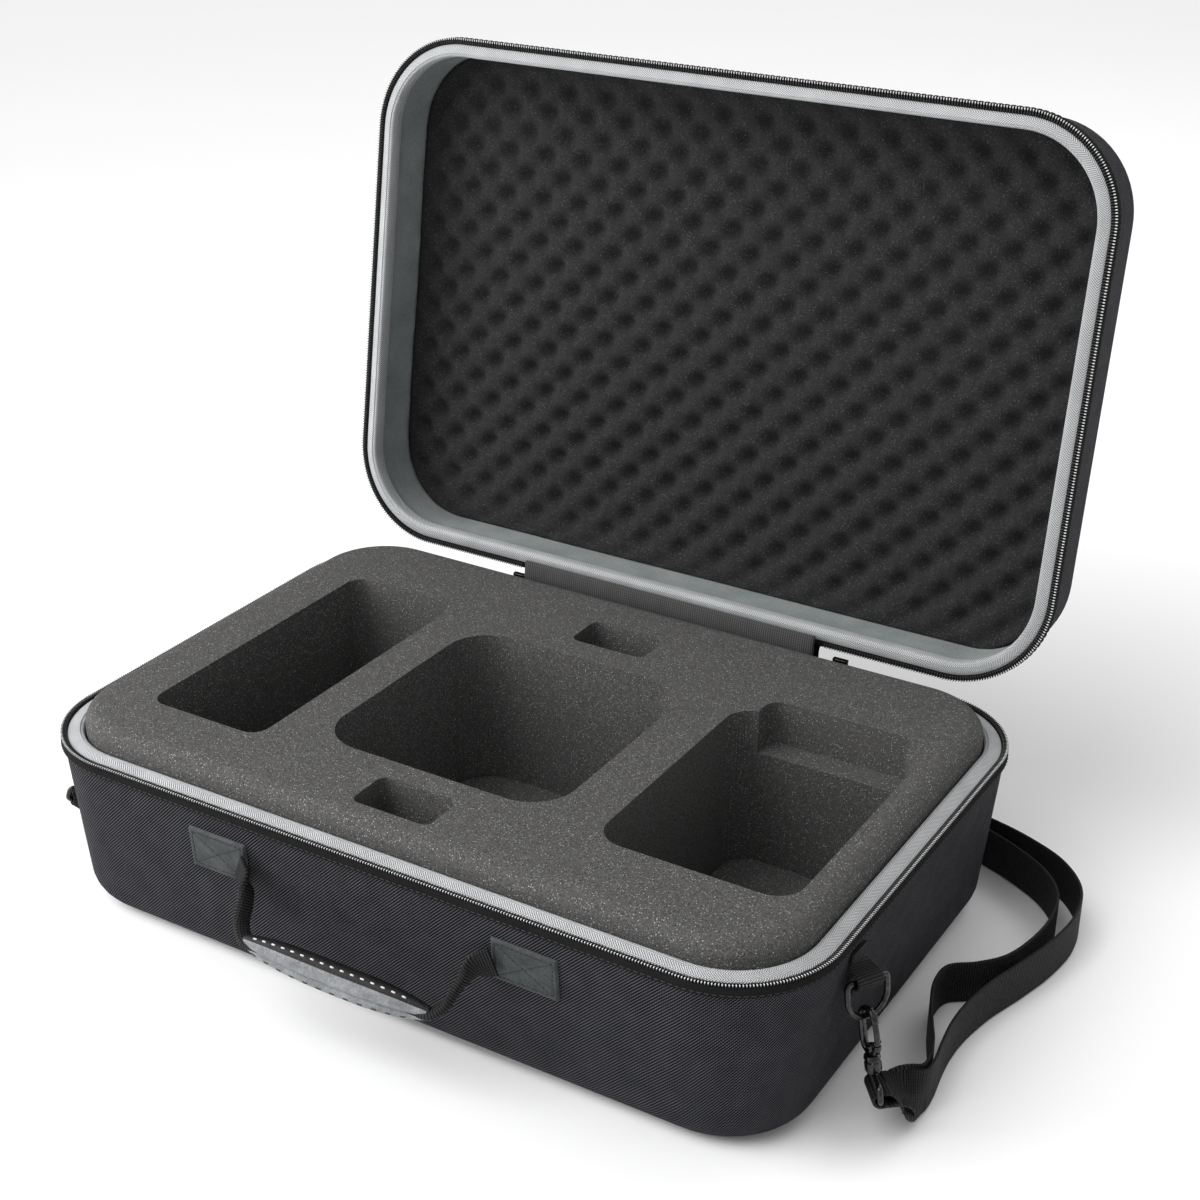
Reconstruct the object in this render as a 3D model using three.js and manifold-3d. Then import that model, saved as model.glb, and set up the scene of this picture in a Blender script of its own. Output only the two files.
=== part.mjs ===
// Hard-shell carrying case with a foam insert, open lid, carry handle and clip-on shoulder strap.
// Units are millimetres, +Z is up. The origin is the middle of the flat bottom of the base.
// The long front side faces -Y and the hinged back side faces +Y.
import * as THREE from 'three';
import { mergeVertices } from 'three/addons/utils/BufferGeometryUtils.js';
import Module from 'manifold-3d';

const wasm = await Module();
wasm.setup();

// ---------- driving dimensions ----------
const HALF_LENGTH = 235;
const HALF_DEPTH = 158.5;
const CORNER_RADIUS = 58;
const BASE_HEIGHT = 104;
const LID_HEIGHT = 62;
const DRAFT = 0.089; // how far a wall leans in for each millimetre away from the rim
const EDGE_RADIUS = 18; // rounding between the walls and the flat bottom or top
const CORNER_STEPS = 7; // facets in each rounded corner of the plan
const GAP = 0.3; // clearance between pieces that touch

const SHELL_THICKNESS = 4;
const LINING_THICKNESS = 1;
const RIM_INSET = 1.2; // the shell's outer face lies this far inside the zip tape's outline
const RIM_DROP = 2.8; // the shell stops this far from the plane where the two rims meet
const TAPE_WIDTH = 8;
const TAPE_THICKNESS = 1.2;
const BINDING_DEPTH = 10;
const BINDING_INSET = 3.9;
const BINDING_WIDTH = 5.9;
const BINDING_BEVEL = 2.2; // width of the slope from the binding's top to its inner face
const TEETH_INSET = 0.2;
const TEETH_TOP = 0.3;
const TEETH_DROP = 2.5;

const HINGE_HEIGHT = 9; // height of the fabric hinge's fold line above the base rim
const HINGE_OUT = 0.6; // the fold line lies this far behind the outline
const HINGE_HALF_WIDTH = 100;
const HINGE_THICKNESS = 1.2;
const HINGE_SPAN = 26; // height of the fabric hinge, from below the base rim to above the lid rim
const HINGE_INSET = 10.9;
const COIL_SETBACK = 4; // the zip coils stop this far short of the fabric hinge
const LID_OPEN_ANGLE = 99; // degrees from closed

const PAD_TOP = 20; // top of the foam pad that floors the pockets
const FOAM_RISE = 12; // the insert stands this far above the base rim
const FOAM_INSET = 12.2;
const FOAM_ROUNDING = 8;
const LID_FOAM_THICKNESS = 20;

const PATCH_X = 95;
const PATCH_Z = 73;
const PATCH_SIZE = [38, 25, 1.5];
const HANDLE_PIVOT = [-160.5, 72]; // y and z of the line that the carry handle swings about
const GRIP_AXIS = [-182, 48]; // y and z of the grip's centre line
const GRIP_HALF_LENGTH = 57;
const GRIP_RADII = [9, 6.5];
const GRIP_BORE_GAP = 1;
const HANDLE_CORD_RADIUS = 3.5;

const RING_BAR = [241, -84, 79]; // middle of the right D-ring's straight bar
const RING_YAW = 30; // degrees that the right ring's bar is turned out of the wall's plane
const RING_LEAN = 8; // degrees that the ring, and then the hook, hang outwards
const RING_HALF_WIDTH = 13;
const RING_WIRE = 3;
const RING_STRAIGHT = 8; // from the bar's centre to the middle of the round bottom
const EYE_SWIVEL = -26; // degrees that the strap eye is turned on its hook

const STRAP_WIDTH = 25;
const STRAP_THICKNESS = 2.4;
const STRAP_LIFT = 0.5;
const ADJUSTER_SIZE = [24, 3, 33];
const ADJUSTER_PLACE = [126, 169.5];
const ADJUSTER_SLOT = [6, 26];
const ADJUSTER_SLOT_X = 5.5;

const SLIDER_X = 112; // zip sliders are parked just outside the hinge
const SLIDER_SIZE = [10, 2.6, 10];
const SLIDER_DROP = 3;
const SLIDER_ARM = [1.6, 5, 1.8];
const PULL_PIVOT = [5.3, -4.5]; // y and z of the bar that the pull hangs on, from the slider's origin
const PULL_WIDTH = 5;
const PULL_LENGTH = 22;
const PULL_FACE = 1; // the pull's outer face lies this far out from the bar's middle
const PULL_EYE_RADIUS = 2.5;
const PULL_HOLE_RADIUS = 1.4;

const CUT_MARGIN = 5; // cutting tools run this far past the faces they cut

// ---------- materials ----------
function material(color, roughness, metalness = 0) {
  return new THREE.MeshStandardMaterial({ color, roughness, metalness });
}

const looks = {
  shell: () => material(0x2a2b30, 0.85),
  lining: () => material(0x6a7272, 0.95),
  binding: () => material(0xa9aaae, 0.9),
  tape: () => material(0x1b1b1d, 0.8),
  teeth: () => material(0x121213, 0.35),
  foam: () => material(0x3e3c39, 1.0),
  leatherette: () => material(0x343a3c, 0.6),
  webbing: () => material(0x19191a, 0.85),
  grip: () => material(0x2c2d2e, 0.7),
  metal: () => material(0x151516, 0.25, 0.8),
};

// ---------- helpers ----------
function toSolid(geometry) {
  const bare = geometry.index ? geometry.clone() : geometry;
  for (const name of ['normal', 'uv']) {
    bare.deleteAttribute(name);
  }
  const merged = mergeVertices(bare, 1e-4);
  return new wasm.Manifold(new wasm.Mesh({
    numProp: 3,
    vertProperties: new Float32Array(merged.attributes.position.array),
    triVerts: new Uint32Array(merged.index.array),
  }));
}

function toGeometry(solid) {
  const mesh = solid.getMesh();
  const geometry = new THREE.BufferGeometry();
  geometry.setAttribute('position', new THREE.BufferAttribute(new Float32Array(mesh.vertProperties), 3));
  geometry.setIndex(new THREE.BufferAttribute(new Uint32Array(mesh.triVerts), 1));
  return geometry;
}

function joinAll(geometries) {
  return toGeometry(geometries.map(toSolid).reduce((sum, next) => sum.add(next)));
}

function cutAll(geometry, tools) {
  return toGeometry(tools.map(toSolid).reduce((left, tool) => left.subtract(tool), toSolid(geometry)));
}

function block(width, depth, height, x = 0, y = 0, z = 0) {
  return new THREE.BoxGeometry(width, depth, height).translate(x, y, z);
}

function addMesh(parent, name, geometry, look, position = [0, 0, 0]) {
  const mesh = new THREE.Mesh(geometry, looks[look]());
  mesh.name = name;
  mesh.position.set(...position);
  parent.add(mesh);
  return mesh;
}

// Turns a profile of [inset, z] points round the case's rounded-rectangle plan. A lathed ring is cut
// into quadrants that move out to the four corners, so every ring keeps a true parallel outline.
function caseSolid(profile) {
  const points = profile.map(([inset, z]) => new THREE.Vector2(CORNER_RADIUS - inset, z));
  const segments = 4 * (CORNER_STEPS + 1);
  const step = (2 * Math.PI) / segments;
  const geometry = new THREE.LatheGeometry(points, segments, step / 2).rotateX(Math.PI / 2);
  const quarter = Math.PI / 2;
  const position = geometry.attributes.position;
  for (let i = 0; i < position.count; i += 1) {
    const x = position.getX(i);
    const y = position.getY(i);
    const radius = Math.hypot(x, y);
    if (radius > 1e-3) {
      const angle = (Math.atan2(y, x) + 2 * Math.PI) % (2 * Math.PI);
      const quadrant = Math.floor(angle / quarter);
      const along = (angle - quadrant * quarter - step / 2) / (quarter - step);
      const turned = (quadrant + along) * quarter;
      const sideX = quadrant === 0 || quadrant === 3 ? 1 : -1;
      const sideY = quadrant < 2 ? 1 : -1;
      position.setX(i, sideX * (HALF_LENGTH - CORNER_RADIUS) + radius * Math.cos(turned));
      position.setY(i, sideY * (HALF_DEPTH - CORNER_RADIUS) + radius * Math.sin(turned));
    }
  }
  return geometry;
}

function wallInset(depth) {
  return RIM_INSET + DRAFT * depth;
}

// The line from the middle of the bottom, round the bottom edge and up the wall to topDepth below the
// rim, at an even distance inside the shell's outer face.
function cupLine(height, distance, topDepth) {
  const centre = wallInset(height - EDGE_RADIUS) + EDGE_RADIUS;
  const radius = EDGE_RADIUS - distance;
  const line = [[CORNER_RADIUS, -height + distance]];
  const arcSteps = 4;
  for (let i = 0; i <= arcSteps; i += 1) {
    const angle = (i / arcSteps) * (Math.PI / 2);
    line.push([centre - radius * Math.sin(angle), -height + EDGE_RADIUS - radius * Math.cos(angle)]);
  }
  line.push([wallInset(topDepth) + distance, -topDepth]);
  return line;
}

function cup(height, distance, thickness, topDepth) {
  const outer = cupLine(height, distance, topDepth);
  const inner = cupLine(height, distance + thickness, topDepth);
  return caseSolid([...outer, ...inner.reverse()]);
}

function closeLoop(points) {
  return [...points, points[0]];
}

// ---------- one half of the case, rim plane at z = 0, hollow side up ----------
function addHalf(parent, prefix, height, hingeSide) {
  addMesh(parent, `${prefix}_shell`, cup(height, 0, SHELL_THICKNESS, RIM_DROP), 'shell');
  const liningDistance = SHELL_THICKNESS + GAP;
  const lining = cup(height, liningDistance, LINING_THICKNESS, BINDING_DEPTH + GAP);
  addMesh(parent, `${prefix}_lining`, lining, 'lining');

  const bindingTop = 2 * GAP;
  const innerInset = BINDING_INSET + BINDING_WIDTH;
  const wallGap = SHELL_THICKNESS + GAP;
  const binding = caseSolid(closeLoop([
    [BINDING_INSET, -TEETH_DROP],
    [BINDING_INSET, -bindingTop],
    [innerInset - BINDING_BEVEL, -bindingTop],
    [innerInset - BINDING_BEVEL / 5, -TEETH_DROP],
    [innerInset, -BINDING_DEPTH],
    [wallInset(BINDING_DEPTH) + wallGap, -BINDING_DEPTH],
    [wallInset(RIM_DROP) + wallGap, -TEETH_DROP],
  ]));
  addMesh(parent, `${prefix}_binding`, binding, 'binding');

  const tapeFace = (depth) => wallInset(depth) - GAP;
  const tape = caseSolid(closeLoop([
    [tapeFace(TAPE_WIDTH) - TAPE_THICKNESS, -TAPE_WIDTH],
    [tapeFace(RIM_DROP) - TAPE_THICKNESS, -RIM_DROP],
    [tapeFace(RIM_DROP), -RIM_DROP],
    [tapeFace(TAPE_WIDTH), -TAPE_WIDTH],
  ]));
  addMesh(parent, `${prefix}_zip_tape`, tape, 'tape');

  // The coil runs all round except where the fabric hinge is.
  const coil = caseSolid(closeLoop([
    [TEETH_INSET, -TEETH_DROP],
    [TEETH_INSET, -TEETH_TOP],
    [BINDING_INSET - GAP, -TEETH_TOP],
    [BINDING_INSET - GAP, -TEETH_DROP],
  ]));
  const cutWidth = 2 * (HINGE_HALF_WIDTH + COIL_SETBACK);
  const cutDepth = 2 * (BINDING_INSET + CUT_MARGIN);
  const hingeCut = block(cutWidth, cutDepth, 2 * CUT_MARGIN, 0, hingeSide * HALF_DEPTH);
  addMesh(parent, `${prefix}_zip_teeth`, cutAll(coil, [hingeCut]), 'teeth');
}

// ---------- foam ----------
function roundedPocket([x0, y0], [x1, y1], radius, z0, z1) {
  const shape = new THREE.Shape();
  shape.moveTo(x0 + radius, y0);
  shape.lineTo(x1 - radius, y0);
  shape.absarc(x1 - radius, y0 + radius, radius, -Math.PI / 2, 0);
  shape.lineTo(x1, y1 - radius);
  shape.absarc(x1 - radius, y1 - radius, radius, 0, Math.PI / 2);
  shape.lineTo(x0 + radius, y1);
  shape.absarc(x0 + radius, y1 - radius, radius, Math.PI / 2, Math.PI);
  shape.lineTo(x0, y0 + radius);
  shape.absarc(x0 + radius, y0 + radius, radius, Math.PI, 1.5 * Math.PI);
  const options = { depth: z1 - z0, bevelEnabled: false, curveSegments: 3 };
  const pocket = new THREE.ExtrudeGeometry(shape, options);
  return pocket.translate(0, 0, z0);
}

// Each pocket is [low corner, high corner, corner radius, floor height], in plan and above the bottom.
const POCKET_FLOOR = PAD_TOP - CUT_MARGIN; // these pockets go right through the insert
const SHELF_FLOOR = 90;
const SLOT_FLOOR = 70;
const POCKETS = [
  [[-184, -105], [-108, 84], 10, POCKET_FLOOR],
  [[-82, -88], [66, 64], 26, POCKET_FLOOR],
  [[96, -96], [205, 62], 16, POCKET_FLOOR],
  [[108, 55], [196, 78], 9, SHELF_FLOOR],
  [[-26, -131], [22, -103], 5, SLOT_FLOOR],
  [[-26, 82], [22, 110], 5, SLOT_FLOOR],
];

function foamInsert() {
  const bottomDepth = BASE_HEIGHT - PAD_TOP - GAP;
  const fitDistance = SHELL_THICKNESS + LINING_THICKNESS + 3 * GAP;
  const shoulderDepth = BINDING_DEPTH + 2;
  const profile = [
    [CORNER_RADIUS, -bottomDepth],
    [wallInset(bottomDepth) + fitDistance, -bottomDepth],
    [wallInset(shoulderDepth) + fitDistance, -shoulderDepth],
    [FOAM_INSET, -BINDING_DEPTH - GAP],
    [FOAM_INSET, FOAM_RISE - FOAM_ROUNDING],
  ];
  const arcSteps = 3;
  for (let i = 1; i <= arcSteps; i += 1) {
    const angle = (i / arcSteps) * (Math.PI / 2);
    profile.push([
      FOAM_INSET + FOAM_ROUNDING * (1 - Math.cos(angle)),
      FOAM_RISE - FOAM_ROUNDING * (1 - Math.sin(angle)),
    ]);
  }
  profile.push([CORNER_RADIUS, FOAM_RISE]);
  const body = caseSolid(profile).translate(0, 0, BASE_HEIGHT);
  const top = BASE_HEIGHT + FOAM_RISE + CUT_MARGIN;
  const cuts = POCKETS.map(([low, high, radius, floor]) => roundedPocket(low, high, radius, floor, top));
  return cutAll(body, cuts);
}

function foamSlab(height, topDepth) {
  const distance = SHELL_THICKNESS + LINING_THICKNESS + 2 * GAP;
  return caseSolid([...cupLine(height, distance, topDepth), [CORNER_RADIUS, -topDepth]]);
}

// ---------- carry handle on the front wall ----------
function frontWallY(z) {
  return -(HALF_DEPTH - wallInset(BASE_HEIGHT - z));
}

function addHandlePatch(parent, name, side) {
  const [width, height, thickness] = PATCH_SIZE;
  const patch = addMesh(parent, name, block(width, thickness, height), 'leatherette');
  patch.position.set(side * PATCH_X, frontWallY(PATCH_Z) - thickness / 2 - GAP, PATCH_Z);
  patch.rotation.x = Math.atan(DRAFT);
}

function handleWebbing() {
  const [pivotY, pivotZ] = HANDLE_PIVOT;
  const [gripY, gripZ] = GRIP_AXIS;
  const between = (share) => [pivotY + (gripY - pivotY) * share, pivotZ + (gripZ - pivotZ) * share];
  const patchEdge = PATCH_X - PATCH_SIZE[0] / 2;
  const side = [
    [patchEdge - 1, ...between(0)],
    [patchEdge - 5, ...between(0.08)],
    [GRIP_HALF_LENGTH + 9, ...between(0.55)],
    [GRIP_HALF_LENGTH + 4, ...between(0.95)],
    [GRIP_HALF_LENGTH - 1, ...between(1)],
    [GRIP_HALF_LENGTH - 10, ...between(1)],
    [20, ...between(1)],
  ];
  const left = side.map(([x, y, z]) => new THREE.Vector3(-x, y, z));
  const right = side.map(([x, y, z]) => new THREE.Vector3(x, y, z)).reverse();
  const route = new THREE.CatmullRomCurve3([...left, ...right], false, 'centripetal');
  const section = new THREE.Shape().absarc(0, 0, HANDLE_CORD_RADIUS, 0, 2 * Math.PI);
  return new THREE.ExtrudeGeometry(section, { steps: 36, curveSegments: 4, extrudePath: route });
}

function gripBody() {
  const outline = new THREE.Shape().absellipse(0, 0, ...GRIP_RADII, 0, 2 * Math.PI);
  const boreRadius = HANDLE_CORD_RADIUS + GRIP_BORE_GAP;
  outline.holes.push(new THREE.Path().absarc(0, 0, boreRadius, 0, 2 * Math.PI));
  const options = { depth: 2 * GRIP_HALF_LENGTH, bevelEnabled: false, curveSegments: 8 };
  const grip = new THREE.ExtrudeGeometry(outline, options);
  return grip.translate(0, 0, -GRIP_HALF_LENGTH).rotateY(Math.PI / 2);
}

// ---------- strap hardware ----------
// Local frame of a ring and of all that hangs on it: +X outwards, Y along the ring's bar, +Z up, with
// the bar's middle at the origin.
const LOOP_HOLE = 2.6;
const LOOP_WALL = 1.8;
const LOOP_WIDTH = 17;
const TAB_PLATE = [2.4, 13, 12];
const TAB_LIFT = 2; // the sewn patch's middle is this far above the ring's bar
const TAB_NECK = [4.6, 9, 5];
const HOOK_THICKNESS = 4;
const HOOK_HALF_WIDTH = 7;
const HOOK_WIRE = 3;
const HOOK_LENGTH = 26;
const GATE_INSET = [8, 7]; // from the hook's top down to the gate, and from its bottom up
const BARREL_LENGTH = 8;
const BARREL_RADIUS = 4.2;
const STEM_RADIUS = 1.9;
const STEM_GAP = 0.35;
const STEM_PROUD = 2.4; // the stem's head stands this far above the hook's bottom wire
const HEAD_RADIUS = 2.9;
const HEAD_THICKNESS = 1.2;
const EYE_WIDTH = 33;
const EYE_OPENING = 5;

const ringBottom = -(RING_STRAIGHT + RING_HALF_WIDTH - RING_WIRE / 2);
const hookTop = ringBottom + RING_WIRE / 2 + 3 * GAP + HOOK_WIRE;
const hookBottom = hookTop - HOOK_LENGTH;
const barrelBottom = hookBottom - BARREL_LENGTH;
const eyeTop = barrelBottom - 0.5;

function ringYaw(side) {
  return THREE.MathUtils.degToRad(side > 0 ? -RING_YAW : RING_YAW - 180);
}

function dShape(halfWidth, top) {
  const shape = new THREE.Shape();
  shape.moveTo(-halfWidth, top);
  shape.lineTo(-halfWidth, -RING_STRAIGHT);
  shape.absarc(0, -RING_STRAIGHT, halfWidth, Math.PI, 2 * Math.PI);
  shape.lineTo(halfWidth, top);
  shape.closePath();
  return shape;
}

// Extrudes a shape drawn in the (Y, Z) plane, centred on X.
function plateYZ(shape, thickness, curveSegments = 8) {
  const plate = new THREE.ExtrudeGeometry(shape, { depth: thickness, bevelEnabled: false, curveSegments });
  return plate.translate(0, 0, -thickness / 2).rotateX(Math.PI / 2).rotateZ(Math.PI / 2);
}

// Extrudes a shape drawn in the (X, Z) plane, centred on Y.
function plateXZ(shape, thickness, curveSegments = 6) {
  const plate = new THREE.ExtrudeGeometry(shape, { depth: thickness, bevelEnabled: false, curveSegments });
  return plate.translate(0, 0, -thickness / 2).rotateX(Math.PI / 2);
}

function dRing() {
  const shape = dShape(RING_HALF_WIDTH, RING_WIRE / 2);
  shape.holes.push(dShape(RING_HALF_WIDTH - RING_WIRE, -RING_WIRE / 2));
  return plateYZ(shape, RING_WIRE);
}

function ovalShape(halfWidth, top, bottom) {
  const shape = new THREE.Shape();
  shape.moveTo(halfWidth, bottom + halfWidth);
  shape.lineTo(halfWidth, top - halfWidth);
  shape.absarc(0, top - halfWidth, halfWidth, 0, Math.PI);
  shape.lineTo(-halfWidth, bottom + halfWidth);
  shape.absarc(0, bottom + halfWidth, halfWidth, Math.PI, 2 * Math.PI);
  return shape;
}

const GATE_TOP = hookTop - GATE_INSET[0];
const GATE_BOTTOM = hookBottom + GATE_INSET[1];

function hookBody() {
  const shape = ovalShape(HOOK_HALF_WIDTH, hookTop, hookBottom);
  shape.holes.push(ovalShape(HOOK_HALF_WIDTH - HOOK_WIRE, hookTop - HOOK_WIRE, hookBottom + HOOK_WIRE));
  const ring = plateXZ(shape, HOOK_THICKNESS);
  const sunk = HOOK_WIRE / 2; // the barrel runs up into the hook's bottom wire
  const barrelLength = BARREL_LENGTH + sunk;
  const barrel = new THREE.CylinderGeometry(BARREL_RADIUS, BARREL_RADIUS, barrelLength, 16);
  barrel.rotateX(Math.PI / 2).translate(0, 0, barrelBottom + barrelLength / 2);
  const boreRadius = STEM_RADIUS + STEM_GAP;
  const boreLength = BARREL_LENGTH + HOOK_WIRE + 2 * CUT_MARGIN;
  const bore = new THREE.CylinderGeometry(boreRadius, boreRadius, boreLength, 12);
  bore.rotateX(Math.PI / 2).translate(0, 0, barrelBottom - CUT_MARGIN + boreLength / 2);
  const gateHeight = GATE_TOP - GATE_BOTTOM + 2 * GAP;
  const gateDepth = HOOK_THICKNESS + 2 * CUT_MARGIN;
  const gateMiddle = (GATE_TOP + GATE_BOTTOM) / 2;
  const gateGap = block(2 * HOOK_WIRE, gateDepth, gateHeight, HOOK_HALF_WIDTH, 0, gateMiddle);
  return cutAll(joinAll([ring, barrel]), [bore, gateGap]);
}

function hookGate() {
  const width = HOOK_WIRE - 2 * GAP;
  const depth = HOOK_THICKNESS - 2 * GAP;
  const x = HOOK_HALF_WIDTH - HOOK_WIRE / 2;
  return block(width, depth, GATE_TOP - GATE_BOTTOM, x, 0, (GATE_TOP + GATE_BOTTOM) / 2);
}

// The strap eye turns in the hook's barrel on a headed stem. Its own local X runs along the strap bar.
function strapEye() {
  const height = EYE_OPENING + 2 * RING_WIRE;
  const middle = eyeTop - height / 2;
  const cutDepth = RING_WIRE + 2 * CUT_MARGIN;
  const frame = cutAll(
    block(EYE_WIDTH, RING_WIRE, height, 0, 0, middle),
    [block(EYE_WIDTH - 2 * RING_WIRE, cutDepth, EYE_OPENING, 0, 0, middle)],
  );
  const stemTop = hookBottom + HOOK_WIRE + STEM_PROUD;
  const stemLength = stemTop - eyeTop + RING_WIRE / 2;
  const stem = new THREE.CylinderGeometry(STEM_RADIUS, STEM_RADIUS, stemLength, 12);
  stem.rotateX(Math.PI / 2).translate(0, 0, stemTop - stemLength / 2);
  const head = new THREE.CylinderGeometry(HEAD_RADIUS, HEAD_RADIUS, HEAD_THICKNESS, 12);
  head.rotateX(Math.PI / 2).translate(0, 0, stemTop);
  return joinAll([frame, stem, head]);
}

// A webbing tab: a patch sewn to the wall, and a loop round the ring's bar. The loop is twisted with
// the ring, so the neck between them is turned with it.
function ringTab(side) {
  const [barX, barY, barZ] = RING_BAR;
  const [plateThickness, plateWidth, plateHeight] = TAB_PLATE;
  const wallX = HALF_LENGTH - wallInset(BASE_HEIGHT - barZ - plateHeight / 2);
  const plateX = side * (wallX + plateThickness / 2 + GAP);
  const plate = block(plateThickness, plateWidth, plateHeight, plateX, barY, barZ + TAB_LIFT);
  const neckStart = LOOP_HOLE + 2 * GAP;
  const neck = block(...TAB_NECK, -neckStart - TAB_NECK[0] / 2, 0, 0);
  const loopShape = new THREE.Shape().absarc(0, 0, LOOP_HOLE + LOOP_WALL, 0, 2 * Math.PI);
  loopShape.holes.push(new THREE.Path().absarc(0, 0, LOOP_HOLE, 0, 2 * Math.PI));
  const loop = plateXZ(loopShape, LOOP_WIDTH, 6);
  for (const piece of [neck, loop]) {
    piece.rotateZ(ringYaw(side)).translate(side * barX, barY, barZ);
  }
  return joinAll([plate, neck, loop]);
}

function addStrapHardware(baseGroup, side) {
  const suffix = side > 0 ? 'right' : 'left';
  const [barX, barY, barZ] = RING_BAR;
  const rad = THREE.MathUtils.degToRad;
  addMesh(baseGroup, `ring_tab_${suffix}`, ringTab(side), 'webbing');

  const ring = new THREE.Group();
  ring.position.set(side * barX, barY, barZ);
  ring.rotation.set(0, -rad(RING_LEAN), ringYaw(side), 'ZYX');
  baseGroup.add(ring);
  addMesh(ring, `d_ring_${suffix}`, dRing(), 'metal');

  const hook = new THREE.Group();
  hook.position.z = ringBottom;
  hook.rotation.y = -rad(RING_LEAN);
  ring.add(hook);
  addMesh(hook, `snap_hook_${suffix}`, hookBody(), 'metal', [0, 0, -ringBottom]);
  addMesh(hook, `hook_gate_${suffix}`, hookGate(), 'metal', [0, 0, -ringBottom]);

  const eye = addMesh(hook, `strap_eye_${suffix}`, strapEye(), 'metal', [0, 0, -ringBottom]);
  eye.rotation.z = side * rad(EYE_SWIVEL);
}

// ---------- shoulder strap, lying on edge beside and behind the base ----------
// Plan routes of the webbing's middle line, from the right hook round the back to the left hook.
const STRAP_ROUTE = [
  [258, -77], [266, -52], [270, -22], [277, 14], [286, 52], [293, 86], [290, 116], [272, 139], [243, 153],
  [212, 164], [178, 172], [110, 175], [0, 176], [-110, 175], [-178, 172], [-222, 160], [-250, 132],
  [-263, 92], [-268, 40], [-268, -20], [-264, -55], [-258, -77],
];
const RETURN_ROUTE = [
  [250, -68], [247, -44], [246, -16], [249, 10], [260, 32], [271, 58], [279, 86], [275, 108], [258, 126],
  [234, 139], [205, 154], [175, 162.5], [140, 166],
];

function strapRibbon(route, steps, height) {
  const points = route.map(([x, y]) => new THREE.Vector3(x, y, 0));
  const curve = new THREE.CatmullRomCurve3(points, false, 'centripetal');
  const left = [];
  const right = [];
  for (let i = 0; i <= steps; i += 1) {
    const point = curve.getPointAt(i / steps);
    const along = curve.getTangentAt(i / steps);
    const offset = new THREE.Vector2(-along.y, along.x).multiplyScalar(STRAP_THICKNESS / 2);
    left.push(new THREE.Vector2(point.x, point.y).add(offset));
    right.push(new THREE.Vector2(point.x, point.y).sub(offset));
  }
  const shape = new THREE.Shape([...left, ...right.reverse()]);
  return new THREE.ExtrudeGeometry(shape, { depth: height, bevelEnabled: false });
}

function strapAdjuster() {
  const [slotWidth, slotHeight] = ADJUSTER_SLOT;
  const cutDepth = ADJUSTER_SIZE[1] + 2 * CUT_MARGIN;
  const slot = (x) => block(slotWidth, cutDepth, slotHeight, x, 0, 0);
  return cutAll(block(...ADJUSTER_SIZE), [slot(-ADJUSTER_SLOT_X), slot(ADJUSTER_SLOT_X)]);
}

// ---------- zip sliders ----------
function zipSlider() {
  const [width, thickness, height] = SLIDER_SIZE;
  const [armWidth, armLength, armHeight] = SLIDER_ARM;
  const [barY, barZ] = PULL_PIVOT;
  const body = block(width, thickness, height, 0, thickness / 2, -SLIDER_DROP);
  const armX = (width - armWidth) / 2;
  const armY = thickness - 1.5 + armLength / 2;
  const arms = [-armX, armX].map((x) => block(armWidth, armLength, armHeight, x, armY, barZ));
  const bar = block(width, 1.6, armHeight, 0, barY, barZ);
  return joinAll([body, ...arms, bar]);
}

// The pull's eye is round about the slider's bar, which passes through it along X, so it clears the
// slider's body as it flips.
function zipPull() {
  const outline = new THREE.Shape();
  outline.moveTo(-PULL_EYE_RADIUS, -PULL_LENGTH);
  outline.lineTo(PULL_FACE, -PULL_LENGTH);
  outline.lineTo(PULL_FACE, -PULL_EYE_RADIUS - PULL_FACE);
  outline.lineTo(PULL_EYE_RADIUS, -PULL_EYE_RADIUS / 2);
  outline.lineTo(PULL_EYE_RADIUS, 0);
  outline.absarc(0, 0, PULL_EYE_RADIUS, 0, Math.PI);
  outline.closePath();
  outline.holes.push(new THREE.Path().absarc(0, 0, PULL_HOLE_RADIUS, 0, 2 * Math.PI));
  return plateYZ(outline, PULL_WIDTH);
}

// ---------- assembly ----------
const carryingCase = new THREE.Group();

const baseGroup = new THREE.Group();
carryingCase.add(baseGroup);
const baseHalf = new THREE.Group();
baseHalf.position.z = BASE_HEIGHT;
baseGroup.add(baseHalf);
addHalf(baseHalf, 'base', BASE_HEIGHT, 1);
addMesh(baseHalf, 'foam_floor_pad', foamSlab(BASE_HEIGHT, BASE_HEIGHT - PAD_TOP), 'foam');
addMesh(baseGroup, 'foam_insert', foamInsert(), 'foam');

const hingeStrip = block(2 * HINGE_HALF_WIDTH, HINGE_THICKNESS, HINGE_SPAN);
const hingePlace = [0, HALF_DEPTH - HINGE_INSET, BASE_HEIGHT + HINGE_HEIGHT - 3.5];
addMesh(baseGroup, 'hinge_panel', hingeStrip, 'lining', hingePlace);

const lidGroup = new THREE.Group();
lidGroup.position.set(0, HALF_DEPTH + HINGE_OUT, BASE_HEIGHT + HINGE_HEIGHT);
lidGroup.rotation.x = -THREE.MathUtils.degToRad(LID_OPEN_ANGLE);
carryingCase.add(lidGroup);
const lidHalf = new THREE.Group();
lidHalf.position.set(0, -HALF_DEPTH - HINGE_OUT, -HINGE_HEIGHT);
lidHalf.rotation.x = Math.PI;
lidGroup.add(lidHalf);
addHalf(lidHalf, 'lid', LID_HEIGHT, -1);
const lidFoamDepth = LID_HEIGHT - SHELL_THICKNESS - LINING_THICKNESS - 2 * GAP - LID_FOAM_THICKNESS;
addMesh(lidHalf, 'lid_foam', foamSlab(LID_HEIGHT, lidFoamDepth), 'foam');

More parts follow.
